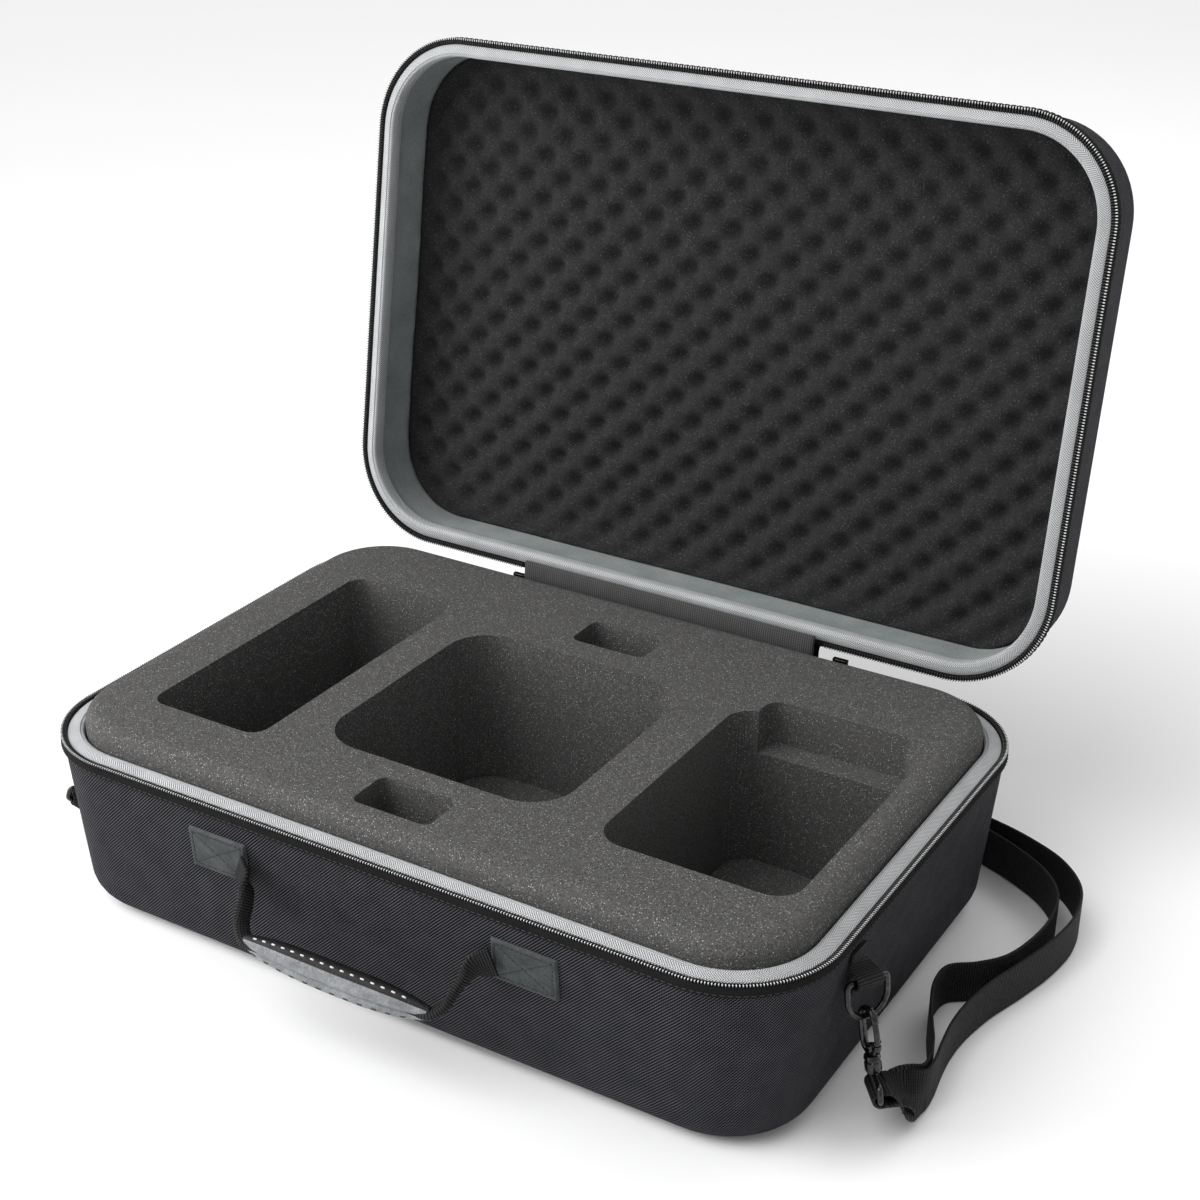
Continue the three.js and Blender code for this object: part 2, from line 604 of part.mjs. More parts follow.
addHandlePatch(baseGroup, 'handle_patch_left', -1);
addHandlePatch(baseGroup, 'handle_patch_right', 1);
addMesh(carryingCase, 'handle_webbing', handleWebbing(), 'webbing');
addMesh(carryingCase, 'handle_grip', gripBody(), 'grip', [0, ...GRIP_AXIS]);

for (const side of [1, -1]) {
  addStrapHardware(baseGroup, side);
}
const strapPlace = [0, 0, STRAP_LIFT];
addMesh(baseGroup, 'strap_webbing', strapRibbon(STRAP_ROUTE, 72, STRAP_WIDTH), 'webbing', strapPlace);
addMesh(baseGroup, 'strap_return', strapRibbon(RETURN_ROUTE, 30, STRAP_WIDTH), 'webbing', strapPlace);
const adjusterPlace = [...ADJUSTER_PLACE, ADJUSTER_SIZE[2] / 2 + STRAP_LIFT];
addMesh(baseGroup, 'strap_adjuster', strapAdjuster(), 'metal', adjusterPlace);

for (const side of [1, -1]) {
  const suffix = side > 0 ? 'right' : 'left';
  const slider = new THREE.Group();
  slider.position.set(side * SLIDER_X, HALF_DEPTH + 0.6, BASE_HEIGHT);
  carryingCase.add(slider);
  addMesh(slider, `zip_slider_${suffix}`, zipSlider(), 'metal');
  addMesh(slider, `zip_pull_${suffix}`, zipPull(), 'metal', [0, ...PULL_PIVOT]);
}

export default carryingCase;
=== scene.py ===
# Looks of the carrying case: moulded fabric shells, zips, foams, webbing and strap hardware, built in
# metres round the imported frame.
import math

import bmesh
import bpy
import numpy as np
from mathutils import Matrix, Vector


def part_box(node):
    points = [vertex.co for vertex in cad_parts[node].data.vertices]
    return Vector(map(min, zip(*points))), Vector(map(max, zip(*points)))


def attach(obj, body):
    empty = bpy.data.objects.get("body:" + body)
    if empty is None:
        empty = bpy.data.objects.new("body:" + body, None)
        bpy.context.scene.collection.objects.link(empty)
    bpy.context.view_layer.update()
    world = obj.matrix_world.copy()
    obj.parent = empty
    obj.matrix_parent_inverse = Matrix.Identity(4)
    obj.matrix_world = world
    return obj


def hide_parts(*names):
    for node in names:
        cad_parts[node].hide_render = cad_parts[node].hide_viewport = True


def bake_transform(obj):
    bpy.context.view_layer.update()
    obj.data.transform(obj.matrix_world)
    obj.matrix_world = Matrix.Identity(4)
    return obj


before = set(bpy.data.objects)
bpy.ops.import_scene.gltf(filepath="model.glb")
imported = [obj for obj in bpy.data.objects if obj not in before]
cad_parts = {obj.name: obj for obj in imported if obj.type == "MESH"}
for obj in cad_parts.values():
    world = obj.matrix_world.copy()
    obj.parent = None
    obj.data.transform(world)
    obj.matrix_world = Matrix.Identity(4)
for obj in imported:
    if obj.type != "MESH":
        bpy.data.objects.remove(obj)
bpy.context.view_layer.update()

# ---------- driving dimensions ----------
HALF_LENGTH = 0.235
HALF_DEPTH = 0.1585
CORNER_RADIUS = 0.058
BASE_HEIGHT = 0.104
LID_HEIGHT = 0.062
DRAFT = 0.089
EDGE_RADIUS = 0.018
RIM_INSET = 0.0012
RIM_DROP = 0.0028
SHELL_THICKNESS = 0.004
LINING_SPACE = 0.0016
BINDING_DEPTH = 0.010
HINGE_AXIS = (0.1591, 0.113)
HINGE_HALF_WIDTH = 0.100
LID_OPEN_ANGLE = 99
PAD_TOP = 0.020
FOAM_TOP = 0.116
FOAM_INSET = 0.0142
LID_FOAM_THICKNESS = 0.020
EGG_PITCH = 0.0265
EGG_HEIGHT = 0.0085
LID_FOAM_INSET = 0.011
STRAP_WIDTH = 0.025
STRAP_THICKNESS = 0.0017
STRAP_MIDDLE = 0.013

SIDES = ((1, "right"), (-1, "left"))
HALF_SIDE = {"base": 1, "lid": -1}
HALF_HEIGHT = {"base": BASE_HEIGHT, "lid": LID_HEIGHT}
BINDING_SPREAD = {"base": 1.18, "lid": 1.0}
HALF_PLACE = {
    "base": Matrix.Translation((0, 0, BASE_HEIGHT)),
    "lid": Matrix.Translation((0, *HINGE_AXIS))
    @ Matrix.Rotation(-math.radians(LID_OPEN_ANGLE), 4, "X")
    @ Matrix.Translation((0, -HINGE_AXIS[0], BASE_HEIGHT - HINGE_AXIS[1]))
    @ Matrix.Rotation(math.pi, 4, "X"),
}


def add_object(name, data):
    """A new object in the scene."""
    obj = bpy.data.objects.new(name, data)
    bpy.context.collection.objects.link(obj)
    return obj


# ---------- camera ----------
def add_camera():
    """Stands to the right of the front and above it, so the open lid and the foam are both seen."""
    azimuth, elevation, roll = (math.radians(a) for a in (31.38, 26.11, 0.28))
    flat = math.cos(elevation)
    back = Vector((math.sin(azimuth) * flat, -math.cos(azimuth) * flat, math.sin(elevation)))
    level = Vector((0, 0, 1)).cross(back).normalized()
    right = math.cos(roll) * level + math.sin(roll) * back.cross(level)
    data = bpy.data.cameras.new("camera")
    data.sensor_width = 36
    data.lens = 61.2
    data.shift_x = 0.0181
    data.shift_y = 0.0098
    place = Matrix.Translation((0.5341, -0.8277, 0.6572))
    turn = Matrix((right, back.cross(right), back)).transposed().to_4x4()
    camera = add_object("camera", data)
    camera.matrix_world = place @ turn
    bpy.context.scene.camera = camera


add_camera()


# ---------- materials ----------
class Look:
    """A Principled material, with short calls for building its node network."""

    def __init__(self, name, **sockets):
        self.material = bpy.data.materials.new(name)
        self.material.use_nodes = True
        self.tree = self.material.node_tree
        self.shader = self.tree.nodes["Principled BSDF"]
        for socket, value in sockets.items():
            self.shader.inputs[socket.replace("_", " ")].default_value = value

    def put(self, socket, value):
        if isinstance(value, bpy.types.NodeSocket):
            self.tree.links.new(value, socket)
        else:
            socket.default_value = value

    def node(self, kind, inputs=None, **settings):
        made = self.tree.nodes.new("ShaderNode" + kind)
        for key, value in settings.items():
            setattr(made, key, value)
        for key, value in (inputs or {}).items():
            self.put(made.inputs[key], value)
        return made

    def math(self, operation, a, b=0.0):
        return self.node("Math", {0: a, 1: b}, operation=operation).outputs[0]

    def weigh(self, a, share_a, b, share_b):
        """The sum of a share of a and a share of b."""
        return self.math("ADD", self.math("MULTIPLY", a, share_a), self.math("MULTIPLY", b, share_b))

    def uv(self):
        split = self.node("SeparateXYZ", {0: self.node("UVMap").outputs[0]})
        return split.outputs[0], split.outputs[1]

    def place(self):
        return self.node("TexCoord").outputs["Object"]

    def wave(self, value, period):
        """Goes from -1 to 1 and back once in each period of value."""
        return self.math("SINE", self.math("MULTIPLY", value, 2 * math.pi / period))

    def noise(self, size, detail=3.0):
        inputs = {"Scale": 1 / size, "Detail": detail, "Roughness": 0.55, "Vector": self.place()}
        return self.node("TexNoise", inputs).outputs["Fac"]

    def cells(self, size, feature="F1"):
        return self.node("TexVoronoi", {"Vector": self.place(), "Scale": 1 / size}, feature=feature)

    def ramp(self, value, low, high):
        """Maps low..high of value to 0..1, held at both ends."""
        inputs = {"Value": value, "From Min": low, "From Max": high}
        return self.node("MapRange", inputs).outputs[0]

    def mix(self, factor, a, b):
        made = self.node("Mix", data_type="RGBA")
        self.put(made.inputs["Factor"], factor)
        self.put(made.inputs[6], a)
        self.put(made.inputs[7], b)
        return made.outputs[2]

    def color(self, value):
        self.put(self.shader.inputs["Base Color"], value)

    def tint(self, value, low, high, dark, light):
        """Goes from dark to light as value goes from low to high."""
        self.color(self.mix(self.ramp(value, low, high), dark, light))

    def rough(self, value, low, high):
        inputs = {"Value": value, "To Min": low, "To Max": high}
        self.put(self.shader.inputs["Roughness"], self.node("MapRange", inputs).outputs[0])

    def bump(self, height, distance, strength=1.0):
        made = self.node("Bump", {"Height": height, "Distance": distance, "Strength": strength})
        self.put(self.shader.inputs["Normal"], made.outputs[0])


def gray(level, warm=0.0):
    """A colour near gray: warm above 0 leans to red, below 0 to blue."""
    return (level * (1 + warm), level, level * (1 - warm), 1)


def nylon_look():
    """Ballistic nylon: staggered thick yarns whose rows read as fine diagonal ribs."""
    look = Look("ballistic_nylon", Specular_IOR_Level=0.02)
    u, v = look.uv()
    row_height = 0.00095
    rows = look.math("DIVIDE", v, row_height)
    shift = look.math("MULTIPLY", look.math("FLOOR", rows), 0.5)
    columns = look.math("ADD", look.math("DIVIDE", u, 2 * row_height), shift)
    yarn_u = look.math("SINE", look.math("MULTIPLY", look.math("FRACT", columns), math.pi))
    yarn_v = look.math("SINE", look.math("MULTIPLY", look.math("FRACT", rows), math.pi))
    rib = look.wave(look.math("ADD", u, v), 2 * row_height)
    height = look.weigh(look.math("MULTIPLY", yarn_u, yarn_v), 0.6, rib, 0.45)
    tone = look.weigh(height, 1, look.noise(0.012), 0.2)
    # Painted light: the yarn tops are painted pale as highlights and the grooves between them nearly black
    # as shade.
    painted_weave_light = look.math("POWER", look.ramp(tone, -0.1, 1.0), 2.5)
    look.color(look.mix(painted_weave_light, (0.0005, 0.0006, 0.0008, 1), (0.2, 0.2, 0.228, 1)))
    look.rough(look.noise(0.004), 0.5, 0.72)
    look.bump(height, 0.0005)
    return look.material


def felt_look():
    """Brushed lining cloth: soft, mottled, gray-green."""
    look = Look("lining_felt", Roughness=0.95, Specular_IOR_Level=0.2, Sheen_Weight=0.08)
    fibre = look.noise(0.0011, 4.0)
    tone = look.weigh(fibre, 0.6, look.noise(0.02), 0.5)
    look.tint(tone, 0.3, 0.8, (0.145, 0.162, 0.162, 1), (0.31, 0.335, 0.335, 1))
    look.bump(fibre, 0.0004, 0.7)
    return look.material


def herringbone_look():
    """Woven tape whose fine lines slant one way and then the other across its width."""
    look = Look("binding_tape", Roughness=0.85, Specular_IOR_Level=0.25)
    u, v = look.uv()
    line = 0.0014
    column = 0.0036
    lines = look.wave(look.math("ADD", u, look.math("PINGPONG", v, column)), line)
    height = look.weigh(lines, 1, look.wave(u, 0.0006), 0.25)
    tone = look.weigh(height, 0.4, look.noise(0.02), 0.3)
    look.tint(tone, -0.3, 0.6, gray(0.2, -0.03), gray(0.86, -0.02))
    look.rough(look.noise(0.002), 0.75, 0.92)
    look.bump(height, 0.00022)
    return look.material


def tape_look():
    """Zip tape: black, closely ribbed across its width."""
    look = Look("zip_tape", Roughness=0.8, Specular_IOR_Level=0.05)
    u, v = look.uv()
    height = look.math("MULTIPLY", look.wave(u, 0.0009), look.wave(v, 0.0013))
    tone = look.weigh(height, 0.35, look.noise(0.01), 0.4)
    look.tint(tone, -0.15, 0.5, gray(0.004), gray(0.021))
    look.bump(height, 0.0002)
    return look.material


def foam_look(name, dark, light, painted_glint):
    """Open-cell foam: a fine porous surface, with tiny cut cells painted pale as glint highlights."""
    look = Look(name, Roughness=0.96, Specular_IOR_Level=0.15)
    pores = look.ramp(look.cells(0.0008).outputs["Distance"], 0.05, 0.6)
    tone = look.weigh(pores, 0.4, look.noise(0.0012, 4.0), 0.7)
    body = look.mix(look.ramp(tone, 0.25, 0.95), dark, light)
    # Painted highlights: a few scattered cut cells are painted in the pale glint colour.
    cut = look.cells(0.00115)
    chosen = look.ramp(look.node("SeparateColor", {0: cut.outputs["Color"]}).outputs[0], 0.35, 0.95)
    glint_spot = look.ramp(cut.outputs["Distance"], 0.32, 0.1)
    look.color(look.mix(look.math("MULTIPLY", chosen, glint_spot), body, painted_glint))
    look.bump(tone, 0.0006, 0.8)
    return look.material


def webbing_look(name, dark, light):
    """Woven strap: ribs across its width, broken into small staggered picks."""
    look = Look(name, Specular_IOR_Level=0.14)
    u, v = look.uv()
    picks = look.wave(v, 0.0016)
    ribs = look.wave(look.weigh(u, 1, picks, 0.00012), 0.0014)
    height = look.weigh(ribs, 1, picks, 0.35)
    tone = look.weigh(height, 0.4, look.noise(0.01), 0.3)
    look.tint(tone, -0.3, 0.65, dark, light)
    look.rough(look.noise(0.003), 0.5, 0.75)
    look.bump(height, 0.00028)
    return look.material


def leather_look(name, dark, light, low=0.42, high=0.62):
    """Embossed leatherette: small smooth pebbles, worn a little paler on top."""
    look = Look(name, Specular_IOR_Level=0.2)
    pebble = look.cells(0.0011, feature="SMOOTH_F1").outputs["Distance"]
    height = look.math("SUBTRACT", 1.0, pebble)
    tone = look.weigh(height, 0.4, look.noise(0.008), 1)
    look.tint(tone, 0.5, 1.1, dark, light)
    look.rough(look.noise(0.003), low, high)
    look.bump(height, 0.0003, 0.6)
    return look.material


def metal_look():
    """Black plated steel: glossy, slightly uneven, with fine rubbed marks."""
    look = Look("black_metal", Metallic=0.85, Coat_Weight=0.5, Coat_Roughness=0.12)
    look.tint(look.noise(0.0022, 5.0), 0.45, 0.75, gray(0.012), gray(0.05))
    look.rough(look.noise(0.0012), 0.16, 0.34)
    look.bump(look.noise(0.0035), 0.0002, 0.3)
    return look.material


def coil_look(name, dark, light):
    """Zip coil: smooth nylon monofilament, mottled between a dark and a light tone."""
    look = Look(name, Coat_Weight=0.6, Coat_Roughness=0.12)
    look.color(look.mix(look.noise(0.003), dark, light))
    look.rough(look.noise(0.002), 0.2, 0.38)
    look.bump(look.noise(0.0009), 0.0001, 0.3)
    return look.material


def thread_look(name, dark, light):
    """Sewing thread: two plies twisted together."""
    look = Look(name, Roughness=0.7)
    look.color(look.mix(look.noise(0.0007), dark, light))
    look.bump(look.noise(0.0004), 0.0001, 0.6)
    return look.material


def floor_look():
    """A plain pale floor."""
    look = Look("studio_floor", Roughness=0.6)
    look.color(look.mix(look.noise(0.4), gray(0.93), gray(0.95)))
    return look.material


NYLON = nylon_look()
FELT = felt_look()
BINDING = herringbone_look()
TAPE = tape_look()
COIL = coil_look("zip_coil", gray(0.004), gray(0.012))
# COIL_PAINTED_HIGHLIGHT: a pale copy of the coil, painted on the tops of the turns as a highlight.
COIL_PAINTED_HIGHLIGHT = coil_look("zip_coil_painted_highlight", gray(0.5), gray(0.85))
# The last colour of each foam is its painted glint highlight.
FOAM = foam_look("foam_charcoal", gray(0.016, 0.02), gray(0.125, 0.02), gray(0.55))
LID_FOAM = foam_look("lid_foam_charcoal", gray(0.009), gray(0.031), gray(0.13))
LEATHER = leather_look("leatherette", (0.024, 0.028, 0.029, 1), (0.06, 0.069, 0.071, 1))
GRIP_BLACK = leather_look("grip_black", gray(0.004), gray(0.014))
# GRIP_PAINTED_REFLECTION: a pale copy of the grip's leatherette, painted on its front and underside as a
# reflection of the pale surroundings.
GRIP_PAINTED_REFLECTION = leather_look("grip_painted_reflection", (0.13, 0.137, 0.143, 1), (0.29, 0.3, 0.315, 1), 0.3, 0.45)
WEBBING = webbing_look("webbing", gray(0.003), gray(0.034))
GUSSET = webbing_look("hinge_grosgrain", gray(0.028), gray(0.13))
METAL = metal_look()
WHITE_THREAD = thread_look("white_thread", gray(0.45), gray(0.75))
BLACK_THREAD = thread_look("black_thread", gray(0.006), gray(0.02))


# ---------- mesh helpers ----------
def finish_mesh(obj, look, sharp_angle):
    """Points the faces outwards, smooths all but the hard edges, and gives the piece its materials."""
    mesh = obj.data
    shape = bmesh.new()
    shape.from_mesh(mesh)
    bmesh.ops.recalc_face_normals(shape, faces=shape.faces)
    shape.to_mesh(mesh)
    shape.free()
    mesh.shade_smooth()
    mesh.set_sharp_from_angle(angle=math.radians(sharp_angle))
    mesh.materials.clear()
    for each in look if isinstance(look, (list, tuple)) else [look]:
        mesh.materials.append(each)
    return obj


def new_object(name, points, faces, look, sharp_angle=40, uvs=None, slots=None):
    """A mesh as a piece. slots gives each face's material, where look is a list of them."""
    mesh = bpy.data.meshes.new(name)
    mesh.from_pydata([tuple(p) for p in points], [], faces)
    if uvs is not None:
        layer = mesh.uv_layers.new(name="UVMap")
        layer.data.foreach_set("uv", np.array(uvs, np.float32).ravel())
    obj = add_object(name, mesh)
    finish_mesh(obj, look, sharp_angle)
    if slots is not None:
        mesh.polygons.foreach_set("material_index", slots)
    return obj


def surface(name, points, uv, look, wrap_rows=False, wrap_columns=False, caps=False, **options):
    """A grid of points as one surface. uv has one more row or column where the grid wraps round. caps
    closes the first and last rows, with uv from the plan where it is "plan"."""
    points = np.asarray(points, float)
    rows, columns = points.shape[:2]
    faces = []
    uvs = []
    for r in range(rows if wrap_rows else rows - 1):
        for c in range(columns if wrap_columns else columns - 1):
            corners = [(r, c), (r, c + 1), (r + 1, c + 1), (r + 1, c)]
            faces.append([(i % rows) * columns + j % columns for i, j in corners])
            uvs.extend(uv[i][j] for i, j in corners)
    if caps:
        for r in (0, rows - 1):
            faces.append([r * columns + c for c in range(columns)])
            uvs.extend(points[r, c, :2] if caps == "plan" else uv[r][c] for c in range(columns))
    return new_object(name, points.reshape(-1, 3), faces, look, uvs=uvs, **options)


def settle(obj, body, node):
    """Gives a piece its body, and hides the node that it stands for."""
    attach(obj, body)
    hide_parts(node)


def lengths(points):
    """Distance along a line of points, from 0 at its first."""
    steps = np.linalg.norm(np.diff(np.asarray(points, float), axis=0), axis=1)
    return np.concatenate([[0], np.cumsum(steps)])


def resample(points, step):
    """Points at even distances along a line of points."""
    points = np.asarray(points, float)
    along = lengths(points)
    wanted = np.linspace(0, along[-1], max(2, round(along[-1] / step) + 1))
    return np.stack([np.interp(wanted, along, points[:, k]) for k in range(points.shape[1])], 1)


def spline(points, step):
    """A smooth centripetal curve through the points, sampled at even distances."""
    points = np.asarray(points, float)
    first = 2 * points[0] - points[1]
    last = 2 * points[-1] - points[-2]
    knots = np.vstack([first, points, last])
    dense = []
    for i in range(1, len(knots) - 2):
        p = knots[i - 1 : i + 3]
        t = np.concatenate([[0], np.cumsum(np.linalg.norm(np.diff(p, axis=0), axis=1) ** 0.5)])
        for x in np.linspace(t[1], t[2], 24, endpoint=False):
            a = [((t[k + 1] - x) * p[k] + (x - t[k]) * p[k + 1]) / (t[k + 1] - t[k]) for k in range(3)]
            b = [((t[k + 2] - x) * a[k] + (x - t[k]) * a[k + 1]) / (t[k + 2] - t[k]) for k in range(2)]
            dense.append(((t[2] - x) * b[0] + (x - t[1]) * b[1]) / (t[2] - t[1]))
    dense.append(points[-1])
    return resample(dense, step)


def round_circle(count):
    return np.linspace(0, 2 * math.pi, count, endpoint=False)


def unit(vectors):
    return vectors / np.linalg.norm(vectors, axis=-1, keepdims=True)


def tangents(path):
    return unit(np.gradient(path, axis=0))


def rounded_section(width, thickness):
    """A flat section with rounded edges: points (across, through) round it."""
    steps = 3
    radius = thickness / 2
    reach = width / 2 - radius
    points = []
    for side, start in ((1, -math.pi / 2), (-1, math.pi / 2)):
        for i in range(steps * 2 + 1):
            angle = start + math.pi * i / (steps * 2)
            points.append((side * reach + radius * math.cos(angle), radius * math.sin(angle)))
    points.insert(2 * steps + 1, (0.0, radius))
    points.append((0.0, -radius))
    return np.array(points)


def ribbon(name, path, across, look, width=STRAP_WIDTH, thickness=STRAP_THICKNESS, start=0.0):
    """A flat band along a path. across is the direction of its width at each point; width and
    thickness are numbers, or one for each point. start is the distance its weave starts from."""
    path = np.asarray(path, float)
    count = len(path)
    along = tangents(path)
    across = np.broadcast_to(np.asarray(across, float), path.shape)
    across = unit(across - (across * along).sum(1, keepdims=True) * along)
    through = np.cross(along, across)
    widths = np.broadcast_to(width, count)
    thicknesses = np.broadcast_to(thickness, count)
    distance = lengths(path) + start
    points, uv = [], []
    for i in range(count):
        section = rounded_section(widths[i], thicknesses[i])
        points.append([path[i] + a * across[i] + b * through[i] for a, b in section])
        round_it = [a for a, b in section] + [section[0][0]]
        uv.append([(distance[i], a) for a in round_it])
    return surface(name, points, uv, look, wrap_columns=True, caps=True)


def tube(name, path, radius, look, flat, closed=False, sides=12):
    """A bar along a path in one plane. flat is that plane's normal. radius is a number, or one in the
    plane and one along its normal."""
    path = np.asarray(path, float)
    if closed:
        along = unit(np.roll(path, -1, axis=0) - np.roll(path, 1, axis=0))
    else:
        along = tangents(path)
    normal = np.broadcast_to(unit(np.asarray(flat, float)), path.shape)
    side = unit(np.cross(along, normal))
    in_plane, out_of_plane = np.broadcast_to(radius, 2)
    angles = round_circle(sides)
    points = [
        [p + in_plane * math.cos(a) * s + out_of_plane * math.sin(a) * n for a in angles]
        for p, s, n in zip(path, side, normal)
    ]
    distance = list(lengths(path)) + [0.0]
    uv = [[(d, 0.001 * k) for k in range(sides + 1)] for d in distance]
    return surface(name, points, uv, look, wrap_rows=closed, wrap_columns=True, caps=not closed)


def bar_faces(first, rings, sides):
    """The faces of a capped bar, whose rings of points start at the index first."""
    faces = []
    for ring in range(rings - 1):
        a = first + ring * sides
        for k in range(sides):
            n = (k + 1) % sides
            faces.append((a + k, a + n, a + sides + n, a + sides + k))
    faces.append([first + k for k in range(sides)])
    faces.append([first + (rings - 1) * sides + k for k in range(sides)])
    return faces


def stitches(name, centres, directions, length, radius, look, body):
    """Many short round-ended bars as one piece."""
    rings = [(-0.5, 0.35), (-0.42, 0.8), (-0.25, 1.0), (0.25, 1.0), (0.42, 0.8), (0.5, 0.35)]
    sides = 6
    points, faces = [], []
    for centre, direction in zip(centres, directions):
        along = Vector(direction).normalized()
        side = along.orthogonal().normalized()
        other = along.cross(side)
        faces.extend(bar_faces(len(points), len(rings), sides))
        for where, share in rings:
            for k in range(sides):
                angle = 2 * math.pi * k / sides
                offset = side * math.cos(angle) + other * math.sin(angle)
                points.append(Vector(centre) + along * (where * length) + offset * (radius * share))
    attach(new_object(name, points, faces, look, sharp_angle=70), body)


# ---------- the plan of the case ----------
def plan_segments():
    """Straights and corners round the outline, from the middle of the hinge side. Each is its length,
    the centre line's points at its start and end, and the outward angles there."""
    x = HALF_LENGTH - CORNER_RADIUS
    y = HALF_DEPTH - CORNER_RADIUS
    corners = [(x, y), (x, -y), (-x, -y), (-x, y)]
    arc = CORNER_RADIUS * math.pi / 2
    segments = [(x, (0, y), (x, y), math.pi / 2, math.pi / 2)]
    for i, corner in enumerate(corners):
        angle = math.pi / 2 - i * math.pi / 2
        after = angle - math.pi / 2
        segments.append((arc, corner, corner, angle, after))
        following = corners[(i + 1) % 4] if i < 3 else (0, y)
        reach = math.dist(corner, following)
        segments.append((reach, corner, following, after, after))
    return segments


SEGMENTS = plan_segments()
PERIMETER = sum(segment[0] for segment in SEGMENTS)


def plan_at(distance):
    """The centre line's point and the outward normal at a distance round the outline."""
    rest = distance % PERIMETER
    for length, start, end, angle, after in SEGMENTS:
        if rest <= length:
            break
        rest -= length
    share = min(rest / length, 1)
    turned = angle + (after - angle) * share
    x = start[0] + (end[0] - start[0]) * share
    y = start[1] + (end[1] - start[1]) * share
    return x, y, math.cos(turned), math.sin(turned)


def stations():
    """Distances round the outline, close together in the corners."""
    corner_steps = 18
    straight_step = 0.014
    found = []
    done = 0.0
    for length, _, _, angle, after in SEGMENTS:
        steps = corner_steps if angle != after else max(1, round(length / straight_step))
        found.extend(done + length * i / steps for i in range(steps))
        done += length
    return np.array(found)


RING = stations()
RING_PLAN = np.array([plan_at(s) for s in RING])


def to_half(half, points):
    """Points of a half, drawn rim up with its rim plane at z 0, in their place on the case."""
    points = np.asarray(points, float)
    place = np.array(HALF_PLACE[half])
    side = np.array([1, HALF_SIDE[half], 1])
    return (points * side) @ place[:3, :3].T + place[:3, 3]


def ring_points(inset, z):
    """The outline at an inset and a height."""
    radius = CORNER_RADIUS - inset
    x = RING_PLAN[:, 0] + radius * RING_PLAN[:, 2]
    y = RING_PLAN[:, 1] + radius * RING_PLAN[:, 3]
    return np.stack([x, y, np.full(len(x), z)], 1)


def loft(name, half, profile, look, closed=False, sharp_angle=40):
    """Turns a profile of (inset, z) points round the case's plan. Where it isn't closed, its two ends
    are flat plates."""
    rows = [ring_points(inset, z) for inset, z in profile]
    distance = lengths(profile + profile[:1])
    round_it = np.append(RING, PERIMETER)
    uv = [[(s, d) for s in round_it] for d in distance]
    caps = False if closed else "plan"
    obj = surface(name, rows, uv, look, wrap_rows=closed, wrap_columns=True, caps=caps)
    moved = to_half(half, [v.co for v in obj.data.vertices])
    obj.data.vertices.foreach_set("co", moved.astype(np.float32).ravel())
    finish_mesh(obj, look, sharp_angle)
    return obj


def wall_inset(depth):
    """How far the outer face stands in from the outline, at a depth below the rim."""
    return RIM_INSET + DRAFT * depth


def cup_line(height, distance, top_depth):
    """From near the middle of the bottom, round the bottom edge and up the wall to top_depth below the
    rim, at an even distance inside the shell's outer face."""
    middle = 0.045
    steps = 8
    centre = wall_inset(height - EDGE_RADIUS) + EDGE_RADIUS
    radius = EDGE_RADIUS - distance
    line = [(middle, -height + distance)]
    for i in range(steps + 1):
        angle = (i / steps) * (math.pi / 2)
        line.append((centre - radius * math.sin(angle), -height + EDGE_RADIUS - radius * math.cos(angle)))
    low = line[-1]
    top = (wall_inset(top_depth) + distance, -top_depth)
    for k in range(1, 5):
        line.append((low[0] + (top[0] - low[0]) * k / 4, low[1] + (top[1] - low[1]) * k / 4))
    return line


# ---------- the two halves ----------
def add_half(half):
    """The shell, lining, binding and zip of one half."""
    height = HALF_HEIGHT[half]
    outer = cup_line(height, 0, RIM_DROP)
    inner = cup_line(height, SHELL_THICKNESS, RIM_DROP)
    shell = loft(f"{half}_shell_cloth", half, outer + inner[::-1], NYLON)
    settle(shell, half, f"{half}_shell")

    gap, felt = 0.0003, 0.0010
    lining_top = BINDING_DEPTH - 0.002
    outer = cup_line(height, SHELL_THICKNESS + gap, lining_top)
    inner = cup_line(height, SHELL_THICKNESS + gap + felt, lining_top)
    lining = loft(f"{half}_lining_felt", half, outer + inner[::-1], FELT)
    settle(lining, half, f"{half}_lining")

    seam_side = [(0.0038, -0.0040), (0.0036, -0.0030), (0.0042, -0.0024)]
    wall_side = [(0.0068, -0.0100), (0.0060, -0.0050)]
    band = [
        (0.0060, -0.0015), (0.0080, -0.0007), (0.0092, -0.0004), (0.0096, -0.0010), (0.0100, -0.0008),
        (0.0108, -0.0013), (0.0113, -0.0026), (0.0115, -0.0055), (0.0114, -0.0090), (0.0110, -0.0104),
        (0.0092, -0.0106),
    ]
    band = [(inset * BINDING_SPREAD[half], z) for inset, z in band]
    section = seam_side + band + wall_side
    binding = loft(f"{half}_binding_tape", half, section, BINDING, closed=True, sharp_angle=60)
    settle(binding, half, f"{half}_binding")

    on_wall = [
        (0.0080, 0.0004, 0.0083), (0.0080, 0.0011, 0.0082), (0.0076, 0.0015, 0.0076),
        (0.0060, 0.0016, 0.0060), (0.0040, 0.0015, 0.0040), (0.0032, 0.0013, 0.0032),
    ]
    over_rim = [
        (0.0004, -0.0024), (0.0012, -0.0021), (0.0040, -0.0021), (0.0040, -0.0026), (0.0014, -0.0027),
    ]
    back = [(0.0040, 0.0004, 0.0040), (0.0060, 0.0003, 0.0060)]
    on_wall, back = ([(wall_inset(depth) - out, -z) for depth, out, z in line] for line in (on_wall, back))
    tape = loft(f"{half}_tape", half, on_wall + over_rim + back, TAPE, closed=True, sharp_angle=60)
    settle(tape, half, f"{half}_zip_tape")
    add_coil(half)
    add_tape_stitches(half)


